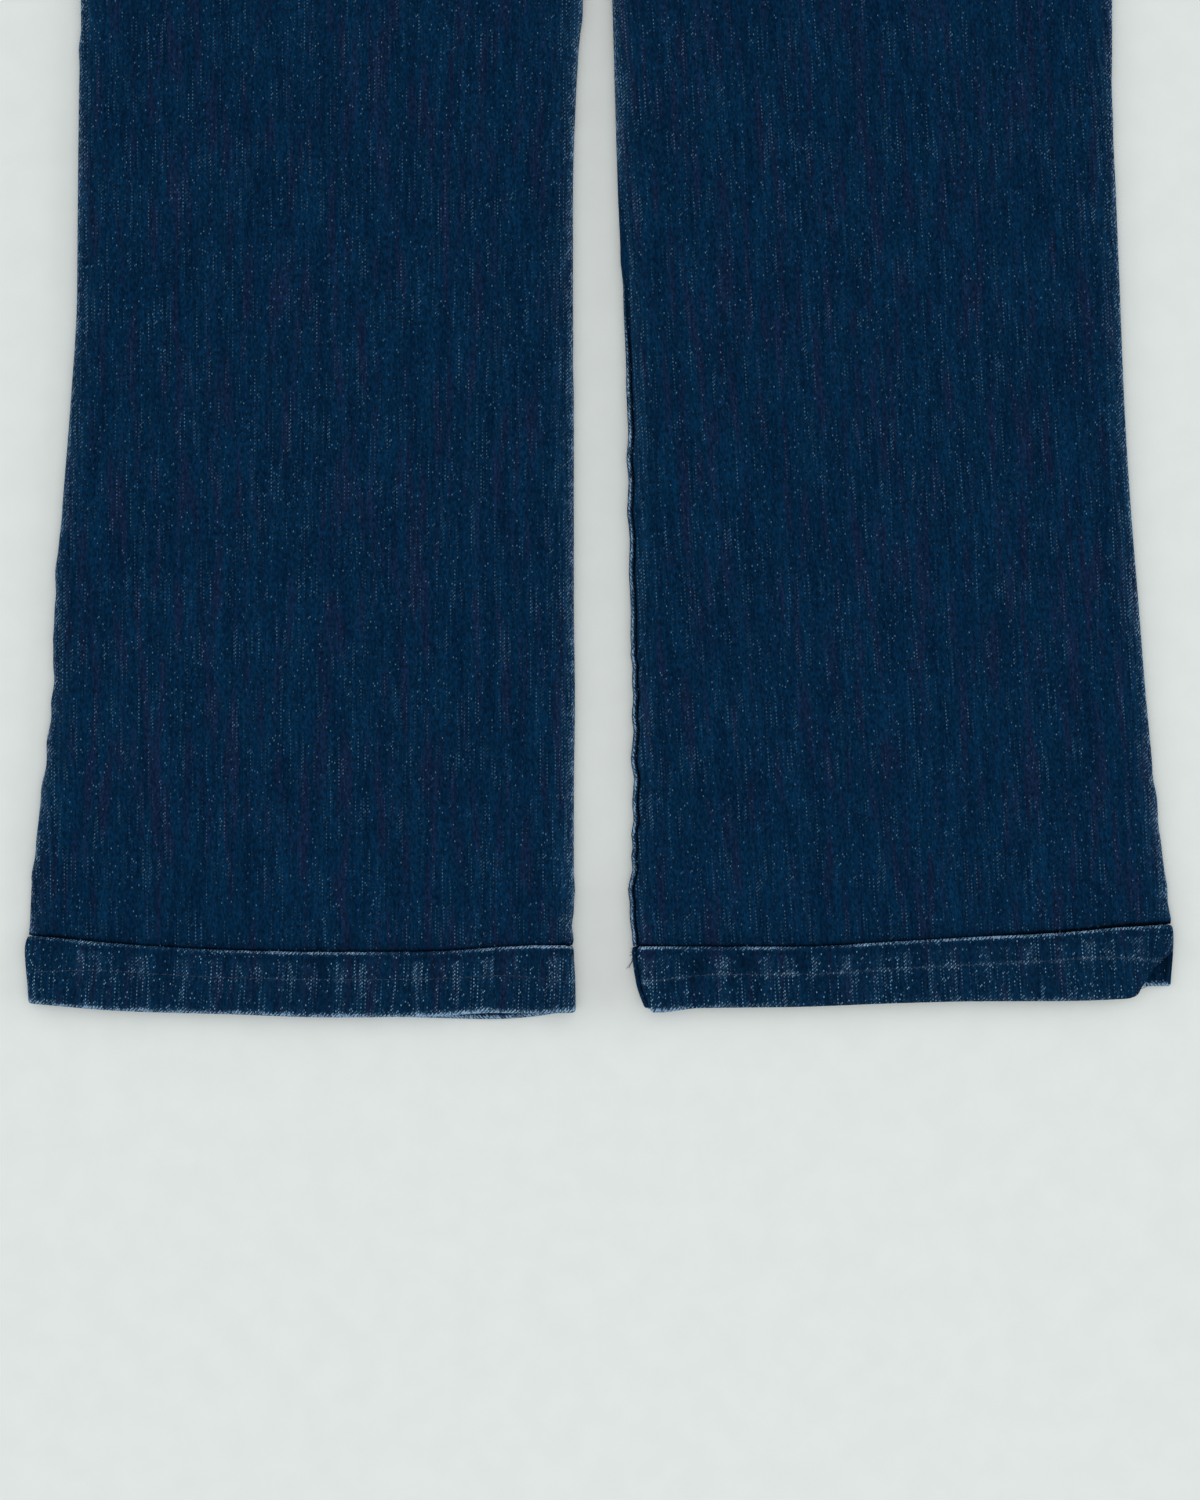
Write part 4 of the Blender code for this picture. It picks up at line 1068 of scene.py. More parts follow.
def denim_material(denim):
    """Indigo twill. Its flecks of weft and its pale haze are stronger on the doubled, rubbed bands."""
    finish = bpy.context.scene.jeans_finish
    material, nodes, shader = new_material(denim.name)
    threads = nodes.add("UVMap", uv_map="Threads").outputs[0]
    wear = nodes.add("Attribute", attribute_name="wear").outputs["Fac"]
    inside = nodes.add("Attribute", attribute_name="inside").outputs["Fac"]
    twill_inputs = {"Threads": threads, "Wear": wear, "Flecks": denim.flecks}
    twill = use_group(nodes, "Twill", make_twill, twill_inputs)
    streaks = use_group(nodes, "Warp streaks", make_streaks, {"Threads": threads})
    rubbed_inputs = {"Threads": threads, "Wear": wear, "Chance": twill["Chance"]}
    rubbed = use_group(nodes, "Rubbed", make_rubbed, rubbed_inputs)

    colour = nodes.mix(nodes.fit(streaks["Tone"], 0.30, 0.70), finish.indigo, finish.bright_indigo)
    brown = nodes.times(nodes.fit(streaks["Brown"], 0.50, 0.68), finish.brown_amount)
    colour = nodes.mix(brown, colour, finish.brown)
    shade = nodes.fit(twill["Yarn shade"], 0.0, 1.0, 0.74, 1.28)
    shade = nodes.times(shade, nodes.fit(streaks["Yarn"], 0.30, 0.70, 0.88, 1.14))
    shade = nodes.times(shade, nodes.fit(streaks["Grain"], 0.30, 0.70, 0.74, 1.32))
    # Painted shade: where the attribute falls below 0 the cloth darkens, down to a tenth at -1
    shade = nodes.times(shade, nodes.fit(wear, -1.0, 0.0, 0.10, denim.shade))
    colour = nodes.mix(1.0, colour, nodes.vector(shade, shade, shade), "MULTIPLY")
    streaked = nodes.times(nodes.fit(streaks["Yarn"], 0.35, 0.65, 0.01, 0.050), wear)
    haze = nodes.math("ADD", nodes.math("MAXIMUM", streaked, 0.0), denim.haze)
    colour = nodes.mix(haze, colour, finish.faded)
    colour = nodes.mix(nodes.times(twill["Dot"], finish.fleck_amount * denim.strength), colour, finish.weft)
    colour = nodes.mix(nodes.times(rubbed["Pale"], 0.78), colour, finish.worn)
    lining = nodes.mix(nodes.fit(twill["Height"], -0.3, 0.4), finish.weft, finish.worn)
    colour = nodes.mix(nodes.times(inside, 0.6), colour, lining)

    soft = nodes.times(nodes.noise(threads, 55.0, 3.0, 0.55), 0.0006)
    height = nodes.times_plus(twill["Height"], 0.00005, soft)
    nodes.feed(shader["Base Color"], colour)
    nodes.feed(shader["Roughness"], 0.92)
    nodes.feed(shader["Specular IOR Level"], 0.02)
    nodes.feed(shader["Normal"], nodes.bump(1.0, 1.0, height))
    return material


def thread_material(name="Tonal thread"):
    if name in bpy.data.materials:
        return bpy.data.materials[name]
    thread = bpy.context.scene.jeans_finish.thread
    material, nodes, shader = new_material(name)
    at = nodes.add("TexCoord").outputs["Object"]
    uneven = nodes.fit(nodes.noise(at, 900.0, 2.0), 0.3, 0.7)
    twist_inputs = {"Vector": at, "Scale": 1900.0, "Distortion": 1.0}
    twist = nodes.add("TexWave", twist_inputs, bands_direction="DIAGONAL").outputs[1]
    nodes.feed(shader["Base Color"], nodes.mix(uneven, [part * 0.55 for part in thread], thread))
    nodes.feed(shader["Roughness"], 0.7)
    nodes.feed(shader["Specular IOR Level"], 0.15)
    nodes.feed(shader["Normal"], nodes.bump(0.5, 0.00005, twist))
    return material


def button_metal():
    """Brass with patches of tarnish and fine scratches."""
    brass = bpy.context.scene.jeans_finish.brass
    material, nodes, shader = new_material("Aged brass")
    at = nodes.add("TexCoord").outputs["Object"]
    age = nodes.fit(nodes.noise(at, 420.0, 4.0, 0.6), 0.35, 0.65)
    nodes.feed(shader["Base Color"], nodes.mix(age, brass, [part * 0.35 for part in brass]))
    nodes.feed(shader["Metallic"], 1.0)
    nodes.feed(shader["Roughness"], nodes.fit(age, 0.0, 1.0, 0.32, 0.52))
    nodes.feed(shader["Normal"], nodes.bump(0.25, 0.00005, nodes.noise(at, 2600.0, 2.0)))
    return material


def surface_material():
    """A pale surface with a very faint mottle."""
    surface = bpy.context.scene.jeans_stage.surface
    material, nodes, shader = new_material("Pale surface")
    mottle = nodes.noise(nodes.add("TexCoord").outputs["Object"], 60.0, 3.0)
    colour = nodes.mix(nodes.fit(mottle, 0.3, 0.7), [part * 0.975 for part in surface], surface)
    nodes.feed(shader["Base Color"], colour)
    nodes.feed(shader["Roughness"], 0.9)
    nodes.feed(shader["Specular IOR Level"], 0.05)
    return material


# Cutting and sewing the pieces


def panel_wear_and_painted_shade(leg, across, x, up):
    """A front panel is paler along its side edges from wear. Painted shade darkens its crevices at hem and
    inseam and the troughs of its puckers by the hem, whose tops are paler from wear.
    """
    rise = up - hem_value(leg, "seam", x)
    gathered = waves(PUCKERS[leg], x) * bump(rise, PANEL_GATHER_WIDTH)
    width = table_value(CREVICE_SHADOW_WIDTHS[leg], "width", x)
    crevice_shadow = 1 - ramp(rise, CREVICE_START * width, CREVICE_END * width)
    wear = waves(PANEL_EDGE_WEAR, np.minimum(*from_edges(leg, x, up))) * (1 - seat(up))
    if leg is LEFT:
        shaded = 1 - ramp(across / ROLL_SHARE, INSEAM_SHADE_FROM, INSEAM_SHADE_TO)
        crevice_shadow = np.maximum(crevice_shadow, seam_on_top(up) * shaded)
    return lerp(wear + PANEL_GATHER_WEAR_AND_PAINTED_SHADE * gathered, -1.0, crevice_shadow)


def make_front_panel(leg):
    """A front panel, with more columns round the pocket's mouth. Its hem is tucked under the band's ridge."""
    start = edge(leg, "inner", MOUTH_LEVEL) - leg.side * FLY_LAP
    end = edge(leg, "outer", MOUTH_LEVEL) - leg.side * ROLL
    turns = np.radians(np.arange(6, 90, 6))
    mouth = leg.side * (SCOOP_MOUTH + scoop_width() * (1 - np.sin(turns)))
    extra = (mouth - start) / (end - start) * (1 - ROLL_SHARE)
    columns = np.unique(np.append(even_columns(leg, FRONT_SPACING), extra).round(5))
    columns = columns[(columns >= 0) & (columns <= 1)][:, None]
    low = meet_hem(leg, FRONT, columns)
    x_low = place(leg, FRONT, columns, low)[0]
    tuck = HEM_TUCK * ramp(np.minimum(*from_edges(leg, x_low, low)), 0.0, EDGE_RIDGE_WIDTH)
    low = low - tuck + (1 - tuck / HEM_TUCK) * SEAM_GAP / 2
    x_mouth = place(leg, FRONT, columns, MOUTH_LEVEL)[0]
    high = np.minimum(scoop(x_mouth), meet_waist(leg, FRONT, columns)) - SEAM_GAP / 2
    up = panel_rows(low, high, 23, 26, seen_to=PHOTOGRAPHED, seen=1.0, far=2.2)
    x, points = on_layer(leg, FRONT, columns, up)
    look = Look(panel_wear_and_painted_shade(leg, columns, x, up), 1.0, settings().lean if leg is LEFT else 0.0)
    rests_on = [f"back_panel_{leg.name}"]
    make_sheet(f"front_panel_{leg.name}", f"front_{leg.name}", points, LEG_DENIM, rests_on, look=look)


def make_back_panel(leg):
    """A back panel. The strip of it that shows beside the left leg's inseam is rubbed pale, with painted
    shade at the seam itself.
    """
    columns = even_columns(leg, BACK_SPACING)
    low = meet_hem(leg, BACK, columns) + SEAM_GAP / 2
    high = meet(leg, BACK, columns, yoke_seam, WAIST_LEVEL) - SEAM_GAP / 2
    up = panel_rows(low, high, 12, 16, seen_to=SEAM_TURN_END, seen=1.2, far=3)
    points = on_layer(leg, BACK, columns, up)[1]
    wear = seam_on_top(up) * waves(STRIP_WEAR_AND_PAINTED_SHADE, columns / ROLL_SHARE) if leg is LEFT else 0.0
    make_sheet(f"back_panel_{leg.name}", f"back_{leg.name}", points, LEG_DENIM, look=Look(wear, 1.0))


def band_wear_and_painted_shade(leg, x, up):
    """Pale from wear on the ridge, on the puckers' tops and along the left band's raw edge. Painted shade
    darkens the dip under the ridge, the puckers' troughs and a groove inside the raw edge.
    """
    drop = hem_value(leg, "seam", x) - up
    inner, outer = from_edges(leg, x, up)
    wear = table_value(RIDGE_WEAR[leg], "amount", x) * waves(RIDGE_STRIPE, drop) - waves(DIP_PAINTED_SHADE, drop)
    gathered = PUCKER_WEAR_AND_PAINTED_SHADE * (puckers(leg, x, drop) * ramp(drop, PUCKER_WEAR_FROM, PUCKER_WEAR_TO))
    stitched = STITCH_WEAR[leg] * bump(drop - hem_stitch_drop(leg, x), STITCH_WEAR_WIDTH)
    stitched = stitched * (1 - STITCH_WEAR_LOSS * np.maximum(gathered, 0.0))
    fold = table_value(FOLD_WEAR[leg], "amount", x) * waves(FOLD_STRIPE, up - hem_value(leg, "front", x))
    wear = wear + gathered + stitched + fold + waves(BAND_EDGE_WEAR, np.minimum(inner, outer))
    if leg is LEFT:
        wear = wear + waves(RAW_EDGE_WEAR, inner) - waves(RAW_EDGE_PAINTED_SHADE, inner) * waves(RAW_EDGE_MIDDLE, up)
    return np.clip(wear, -1.0, 1.0)


def make_hem_band(leg, layer):
    """The front or back of a doubled hem band. The back is paler at its fold, which shows past the front.
    Painted shade darkens the inside faces of both.
    """
    front = layer is BAND_FRONT
    columns = even_columns(leg, HEM_SPACING[layer.name])
    radius = settings().doubled_wall / 2
    high = meet_hem(leg, layer, columns) - SEAM_GAP / 2 - radius
    low = meet_hem(leg, layer, columns, layer.name, 0.0) + radius
    up = lerp(low, high, spread(HEM_STEPS) ** HEM_STEP_CURVE[layer.name])
    x, points = on_layer(leg, layer, columns, up)
    look = Look(
        lean=settings().lean if leg is LEFT else RIGHT_BAND_LEAN,
        inner_wear=lerp(BAND_INSIDE_PAINTED_SHADE, BACK_FOLD_WEAR, bump(up - low, BACK_FOLD_WIDTH)),
        low_wear=BACK_FOLD_WEAR,
    )
    rests_on = ["floor"]
    if front:
        look = look._replace(
            wear=band_wear_and_painted_shade(leg, x, up),
            low_wear=table_value(FOLD_WEAR[leg], "amount", x[:, :1]),
            high_wear=table_value(RIDGE_WEAR[leg], "amount", x[:, -1:]),
        )
        rests_on = [f"hem_back_{leg.name}"]
    name = f"{layer.name}_{leg.name}"
    make_sheet(f"hem_{name}", f"hem_band_{name}", points, BAND_DENIM, rests_on, True, look)


def make_side_panel(leg):
    """The hip piece that shows in the scoop, tucked under the front panel."""
    columns = even_columns(leg, SIDE_PANEL_SPACING)
    columns = columns[columns[:, 0] >= SIDE_PANEL_FROM]
    x_mouth = place(leg, SIDE_PANEL, columns, MOUTH_LEVEL)[0]
    tuck = TUCK_UNDER * ramp(1 - columns, ROLL_SHARE, 2 * ROLL_SHARE)
    low = np.maximum(SCOOP_BOTTOM + SEAM_GAP / 2 - tuck, scoop(x_mouth) - TUCK_UNDER * 2)
    high = meet_waist(leg, SIDE_PANEL, columns) - SEAM_GAP / 2
    points = on_layer(leg, SIDE_PANEL, columns, lerp(low, high, spread(SIDE_PANEL_STEPS)))[1]
    name, node = f"hip_piece_{leg.name}", f"pocket_side_panel_{leg.name}"
    make_sheet(name, node, points, LEG_DENIM, [f"back_panel_{leg.name}"], look=Look(lined=1.0))


def make_yoke(leg):
    """A yoke piece, which runs a little under the waistband so that no light shows between them."""
    columns = even_columns(leg, BACK_SPACING)
    low = meet(leg, BACK, columns, yoke_seam, WAIST_LEVEL) + SEAM_GAP / 2
    high = meet_waist(leg, BACK, columns) + YOKE_TUCK
    points = on_layer(leg, BACK, columns, lerp(low, high, spread(YOKE_STEPS)))[1]
    make_sheet(f"back_yoke_{leg.name}", f"yoke_{leg.name}", points, LEG_DENIM, look=YOKE_LOOK)


def make_back_pocket(leg):
    """A patch pocket under the back panel, with a pointed foot and two sewn ridges round it."""
    columns = spread(POCKET_STEPS, -1.0).T
    rows = spread(POCKET_STEPS)
    width = lerp(POCKET_WIDTH_FOOT, POCKET_WIDTH_TOP, rows)
    up = lerp(POCKET_TOP - POCKET_LENGTH - POCKET_POINT * (1 - np.abs(columns)), POCKET_TOP, rows)
    x = leg.side * POCKET_MIDDLE + columns * width / 2
    border = np.minimum((1 - np.abs(columns)) * width / 2, rows * POCKET_LENGTH)
    z = POCKET_SEAM_RISE * sum(bump(border - row, POCKET_SEAM_WIDTH) for row in POCKET_ROWS)
    look = Look(waves(POCKET_EDGE_WEAR, border), 1.0)
    name, node = f"patch_pocket_{leg.name}", f"back_pocket_{leg.name}"
    make_sheet(name, node, sheet_points(x, up, z), LEG_DENIM, look=look)


def waistband_grid(leg, layer, across):
    """Heights over the waist seam, and the points of one side of the waistband."""
    radius = settings().doubled_wall / 2
    rows = spread(WAISTBAND_STEPS[layer.name], radius, WAISTBAND_WIDTH - radius)
    return rows, on_layer(leg, layer, across, meet_waist(leg, layer, across) + SEAM_GAP + rows)[1]


def make_waistband():
    """One strip from side to side at the back, and two pieces that lap in front."""
    half = even_columns(LEFT, BACK_SPACING)
    half = half[half[:, 0] > ROLL_SHARE]
    rows, right = waistband_grid(RIGHT, WAISTBAND_BACK, half)
    left = waistband_grid(LEFT, WAISTBAND_BACK, half)[1]
    middle = sheet_points(0.0, WAIST_SEAM_MIDDLE["back"] + SEAM_GAP + rows, seat_lift())
    points = np.concatenate([right[::-1], middle, left])
    make_sheet("back_waistband", "waistband_back", points, BAND_DENIM, doubled=True, look=WAISTBAND_LOOK)
    rests_on = ["back_waistband"]
    for leg in LEGS:
        points = waistband_grid(leg, WAISTBAND_FRONT, even_columns(leg, WAISTBAND_SPACING))[1]
        name, node = f"front_waistband_{leg.name}", f"waistband_front_{leg.name}"
        make_sheet(name, node, points, BAND_DENIM, rests_on, True, WAISTBAND_LOOK)
        rests_on = [name] + rests_on


def make_belt_loop(which, leg, x, layer):
    """A strip across the waistband: over its face at the front, under it at the back."""
    front = layer.name == "front"
    seam = waist_seam(layer.name, x)
    columns, rows = spread(LOOP_COLUMNS, -1.0).T, spread(LOOP_STEPS)
    up = lerp(seam - LOOP_BELOW, seam + WAISTBAND_WIDTH + LOOP_ABOVE, rows)
    z = 0.0
    if front:
        z = layer.face(leg, x, up) + seat_lift() + LOOP_ARCH * np.sin(math.pi * rows)
    drop = LOOP_EDGE_DROP * bump(1 - np.abs(columns), LOOP_EDGE_SHARE)
    z = z - drop if front else z + drop
    points = sheet_points(x + columns * LOOP_WIDTH / 2, up, z)
    rests_on = [f"front_waistband_{leg.name}"] if front else ["floor"]
    look = Look(waves(LOOP_EDGE_WEAR, 1 - np.abs(columns)))
    name, node = f"{layer.name}_loop_{which}", f"belt_loop_{layer.name}_{which}"
    make_sheet(name, node, points, BAND_DENIM, rests_on, look=look)


# Stitching


def stitch_model():
    """One stitch along X, 1 long and 1 thick: a sphere drawn out, with its ends pressed down."""
    bpy.ops.object.select_all(action="DESELECT")
    bpy.ops.mesh.primitive_uv_sphere_add(segments=6, ring_count=4, radius=0.5)
    stitch = bpy.context.object
    bpy.ops.object.mode_set(mode="EDIT")
    bpy.ops.mesh.select_all(action="SELECT")
    bpy.ops.transform.rotate(value=math.pi / 2, orient_axis="Y", center_override=(0.0, 0.0, 0.0))
    bpy.ops.object.mode_set(mode="OBJECT")
    mesh = stitch.data
    points = np.array([tuple(vert.co) for vert in mesh.vertices])
    faces = [list(polygon.vertices) for polygon in mesh.polygons]
    bpy.data.objects.remove(stitch, do_unlink=True)
    bpy.data.meshes.remove(mesh)
    return points, faces


def sew(name, lines, stitch=Stitch()):
    """Joined stitches along each line of surface points, half sunk in the cloth."""
    points, faces = stitch_model()
    size = (stitch.length * STITCH_DRAWN_OUT, stitch.thickness, stitch.thickness)
    stitches = []
    for line in lines:
        walked = along(line[:, None], 0)[:, 0]
        count = int(walked[-1] / (stitch.length + stitch.gap))
        starts = (np.arange(count) + STITCH_START) * walked[-1] / max(count, 1)
        first, last = (
            np.stack([np.interp(at, walked, column) for column in line.T], axis=-1)
            for at in (starts, starts + stitch.length)
        )
        forwards = unit(last - first)
        sideways = unit(np.cross((0.0, 0.0, 1.0), forwards))
        turns = np.stack([forwards, sideways, np.cross(forwards, sideways)], axis=1)
        for turn, middle in zip(turns, (first + last) / 2):
            stitches.append((points * size @ turn + middle, faces))
    join(name, stitches)


def line_on(leg, layer, x, up, lift=FRONT_LIFT):
    """Points of a stitch line on a layer, just proud of its face."""
    x, up = np.broadcast_arrays(np.asarray(x, float), np.asarray(up, float))
    return sheet_points(x, up, layer.face(leg, x, up) + (lift if layer.name == "front" else -lift))


def hem_lines(leg):
    """The row that holds a hem band, kept clear of its rolled edges."""
    inset = leg.side * HEM_STITCH_INSET
    x = np.linspace(edge(leg, "inner", HEM_LEVEL / 2) + inset, edge(leg, "outer", HEM_LEVEL / 2) - inset, 300)
    return [line_on(leg, BAND_FRONT, x, hem_value(leg, "seam", x) - hem_stitch_drop(leg, x), HEM_LIFT)]


def waistband_lines(leg):
    """A row near each edge of the waistband, but none where the left side laps over the right."""
    lines = []
    start = FLY_LAP if leg is LEFT else 0.0
    end = leg.side * (WAIST_HALF - CLEAR_OF_WAIST_END)
    for rise in WAISTBAND_ROWS:
        x = np.linspace(leg.side * (CLEAR_OF_LAP - start), end, 160)
        x = x[x <= -FLY_LAP - CLEAR_OF_LAP] if leg is RIGHT else x
        lines.append(line_on(leg, WAISTBAND_FRONT, x, waist_seam("front", x) + rise))
        x = np.linspace(0.0, end, 140)
        lines.append(line_on(leg, WAISTBAND_BACK, x, waist_seam("back", x) + rise))
    return lines


def scoop_lines(leg):
    """Two rows round the mouth of a front pocket."""
    lines = []
    turns = np.radians(np.linspace(4, 86, 60))
    for inset in SCOOP_ROWS:
        x = SCOOP_MOUTH + scoop_width() * (1 - np.sin(turns)) - inset * np.sin(turns)
        up = lerp(SCOOP_BOTTOM, waist_seam("front", SCOOP_MOUTH), 1 - np.cos(turns)) - inset * np.cos(turns)
        side = abs(edge(leg, "outer", SCOOP_BOTTOM)) - CLEAR_OF_SIDE
        keep = (up < waist_seam("front", x) - CLEAR_OF_SEAM) & (x < side)
        lines.append(line_on(leg, FRONT, leg.side * x[keep], up[keep]))
    return lines


def fly_lines():
    """Two rows of a J from the waist down to the fly's foot, and the seam below it."""
    lines = []
    turns = np.radians(np.linspace(0, 84, 40))[1:]
    straight = np.linspace(FLY_TOP, FLY_CURVE_TOP, 50)
    for inset in FLY_ROWS:
        side = FLY_CURVE_WIDTH - inset
        x = np.concatenate([np.full_like(straight, side), side * np.cos(turns)])
        foot = FLY_CURVE_TOP - (FLY_CURVE_DEPTH - inset) * np.sin(turns)
        lines.append(line_on(LEFT, FRONT, x, np.concatenate([straight, foot])))
    for x in FLY_SEAM_ROWS:
        lines.append(line_on(LEFT, FRONT, x, np.linspace(FLY_BOTTOM, CROTCH + CLEAR_OF_CROTCH, 40)))
    lines.append(line_on(LEFT, FRONT, FLY_EDGE_ROW, np.linspace(FLY_TOP, FLY_BOTTOM + CLEAR_OF_FLY_END, 60)))
    return lines


def back_lines(leg):
    """Two rows above the yoke seam and two beside the seat seam, on the underside."""
    lines = []
    for aside in SEAT_ROWS:
        x = np.linspace(leg.side * CLEAR_OF_SEAM, leg.side * SEAT_ROW_END, 150)
        lines.append(line_on(leg, BACK, x, yoke_seam(x) + aside, BACK_LIFT))
    if leg is LEFT:
        up = np.linspace(CROTCH + CLEAR_OF_SEAT_END, WAIST_SEAM_MIDDLE["back"] - CLEAR_OF_LAP, 150)
        lines += [line_on(leg, BACK, aside, up, BACK_LIFT) for aside in SEAT_ROWS]
    return lines


def pocket_lines(leg):
    """Two rows round the sides and foot of a patch pocket, and two across its hem."""
    lines = []
    middle = leg.side * POCKET_MIDDLE
    share = np.linspace(0.0, 1.0, 50)
    for inset in POCKET_ROWS:
        top, foot = POCKET_TOP - POCKET_ROWS[0], POCKET_TOP - POCKET_LENGTH + inset
        half_top, half_foot = POCKET_WIDTH_TOP / 2 - inset, POCKET_WIDTH_FOOT / 2 - inset
        corners = [(-half_top, top), (-half_foot, foot), (0.0, foot - POCKET_POINT)]
        corners += [(half_foot, foot), (half_top, top)]
        for (x0, up0), (x1, up1) in zip(corners, corners[1:]):
            lines.append(sheet_points(middle + lerp(x0, x1, share), lerp(up0, up1, share), POCKET_LIFT))
    for drop in POCKET_HEM_ROWS:
        x = middle + np.linspace(-POCKET_HEM_HALF, POCKET_HEM_HALF, 60)
        lines.append(sheet_points(x, POCKET_TOP - drop, POCKET_LIFT))
    return lines


def loop_tacks():
    """Close zigzags across both ends of each belt loop."""
    lines = []
    places = [(leg, leg.side * LOOP_FRONT, WAISTBAND_FRONT) for leg in LEGS]
    places += [(leg, leg.side * LOOP_BACK, WAISTBAND_BACK) for leg in LEGS] + [(LEFT, 0.0, WAISTBAND_BACK)]
    for leg, x, layer in places:
        seam = waist_seam(layer.name, x)
        for up in (seam - LOOP_BELOW + TACK_INSET, seam + WAISTBAND_WIDTH - TACK_INSET):
            share = (up - (seam - LOOP_BELOW)) / (WAISTBAND_WIDTH + LOOP_BELOW + LOOP_ABOVE)
            z = TACK_LIFT
            if layer.name == "front":
                z = layer.face(leg, x, up) + seat_lift() + LOOP_ARCH * math.sin(math.pi * share)
            ends = np.array([up - TACK_HALF, up + TACK_HALF])
            for i in range(-TACKS_EACH_SIDE, TACKS_EACH_SIDE + 1):
                low = x + i * TACK_STEP
                lines.append(sheet_points([low, low + TACK_LEAN], ends, z))
    return lines


def tube(path, radius):
    """Points and faces of a thin closed tube along a path."""
    forwards = unit(np.gradient(path, axis=0))
    sideways = unit(np.cross((0.0, 0.0, 1.0), forwards) + (1e-9, 0.0, 0.0))
    upwards = np.cross(forwards, sideways)
    angles = 2 * math.pi * np.arange(STRAND_SIDES)[None, :, None] / STRAND_SIDES
    spokes = np.cos(angles) * sideways[:, None] + np.sin(angles) * upwards[:, None]
    rings = path[:, None] + radius[:, None, None] * spokes
    index = np.arange(len(path) * STRAND_SIDES).reshape(len(path), STRAND_SIDES)
    after = np.roll(index, -1, axis=1)
    faces = np.stack([index[:-1], after[:-1], after[1:], index[1:]], axis=-1).reshape(-1, 4).tolist()
    return rings.reshape(-1, 3), faces + [index[0, ::-1].tolist(), index[-1].tolist()]


def loose_thread(strand):
    share = np.linspace(0.0, 1.0, 9)
    bow = strand.bow * np.sin(math.pi * share)
    x = lerp(strand.x, strand.to_x, share) + bow
    up = lerp(strand.up, strand.to_up, share) + bow * 0.5
    z = np.maximum(strand.height * (1 - share**1.5), STRAND_LOWEST)
    return tube(sheet_points(x, up, z), STRAND_RADIUS * (1 - 0.4 * share))


# Button, surface, lights and camera


def make_button():
    """A disc with a raised rim and a shallow dished middle."""
    up = float(waist_seam("front", BUTTON_X)) + WAISTBAND_WIDTH / 2
    base = float(waistband_face(LEFT, BUTTON_X, up)) + SEAM_GAP
    middle = (BUTTON_X, up - HEM_TO_ORIGIN, base + BUTTON_HEIGHT / 2)
    bpy.ops.object.select_all(action="DESELECT")
    bpy.ops.mesh.primitive_cylinder_add(
        vertices=BUTTON_SIDES, radius=BUTTON_RADIUS, depth=BUTTON_HEIGHT, location=middle
    )
    button = bpy.context.object
    button.name = "shank_button"
    bpy.ops.object.transform_apply(location=True, rotation=True, scale=True)
    top = max(vert.co.z for vert in button.data.vertices)
    bpy.ops.object.mode_set(mode="EDIT")
    bpy.ops.mesh.select_all(action="DESELECT")
    bpy.ops.object.mode_set(mode="OBJECT")
    for polygon in button.data.polygons:
        polygon.select = polygon.normal.z > 0.9 and abs(polygon.center.z - top) < 1e-5
    bpy.ops.object.mode_set(mode="EDIT")
    for inset, rise in BUTTON_INSETS:
        bpy.ops.mesh.inset(thickness=inset)
        bpy.ops.transform.translate(value=(0.0, 0.0, rise))
    bpy.ops.object.mode_set(mode="OBJECT")
    bevel = button.modifiers.new("Rounded rim", "BEVEL")
    bevel.width = BUTTON_BEVEL
    bevel.segments = 4
    bevel.limit_method = "ANGLE"
    bevel.angle_limit = math.radians(60)
    bpy.ops.object.modifier_apply(modifier=bevel.name)
    bpy.ops.object.shade_smooth_by_angle(angle=math.radians(40))
    button.data.materials.append(button_metal())
    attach(button, "root")
    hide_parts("button")


def lay_surface():
    bpy.ops.object.select_all(action="DESELECT")
    bpy.ops.mesh.primitive_plane_add(size=GROUND_SIZE, location=(0.0, 0.0, -GROUND_DROP))
    floor = bpy.context.object
    floor.name = "floor"
    bpy.ops.object.transform_apply(location=True, rotation=True, scale=True)
    floor.data.materials.append(surface_material())


def set_even_light(stage):
    world = bpy.data.worlds.new("Even light")
    bpy.context.scene.world = world
    world.use_nodes = True
    background = world.node_tree.nodes["Background"]
    background.inputs["Color"].default_value = (*EVEN_LIGHT, 1.0)
    background.inputs["Strength"].default_value = stage.sky


def add_light(light, stage):
    """One soft light, turned to the middle of the legs."""
    bpy.ops.object.light_add(type="AREA", location=light.place)
    lamp = bpy.context.object
    lamp.name = light.name
    lamp.data.shape = "RECTANGLE"
    lamp.data.size, lamp.data.size_y = light.size
    lamp.data.energy = getattr(stage, light.power)
    lamp.data.color = light.tint
    towards = mathutils.Vector(LIT_MIDDLE) - lamp.location
    lamp.rotation_euler = towards.to_track_quat("-Z", "Y").to_euler()


def set_camera(stage):
    """The camera looks straight down, with the photograph's frame at the height of the seams."""
    height = LEG_SEAM_HEIGHT + stage.distance
    bpy.ops.object.camera_add(location=(*FRAME_MIDDLE, height), rotation=(0.0, 0.0, 0.0))
    camera = bpy.context.object
    camera.name = "camera"
    camera.data.sensor_width = SENSOR
    camera.data.lens = SENSOR * stage.distance / FRAME_LENGTH
    camera.data.clip_end = 50.0
    bpy.context.scene.camera = camera


# Add-on classes


def length(name, description, default, low):
    return bpy.props.FloatProperty(
        name=name, description=description, default=default, min=low, unit="LENGTH", precision=5
    )


def amount(name, description, default, high=2.0):
    return bpy.props.FloatProperty(
        name=name, description=description, default=default, min=0.0, max=high, subtype="FACTOR"
    )


def strength(name, description, default):
    return bpy.props.FloatProperty(name=name, description=description, default=default, min=0.0)


def colour(name, description, default):
    return bpy.props.FloatVectorProperty(
        name=name, description=description, default=default, subtype="COLOR", min=0.0, max=1.0
    )


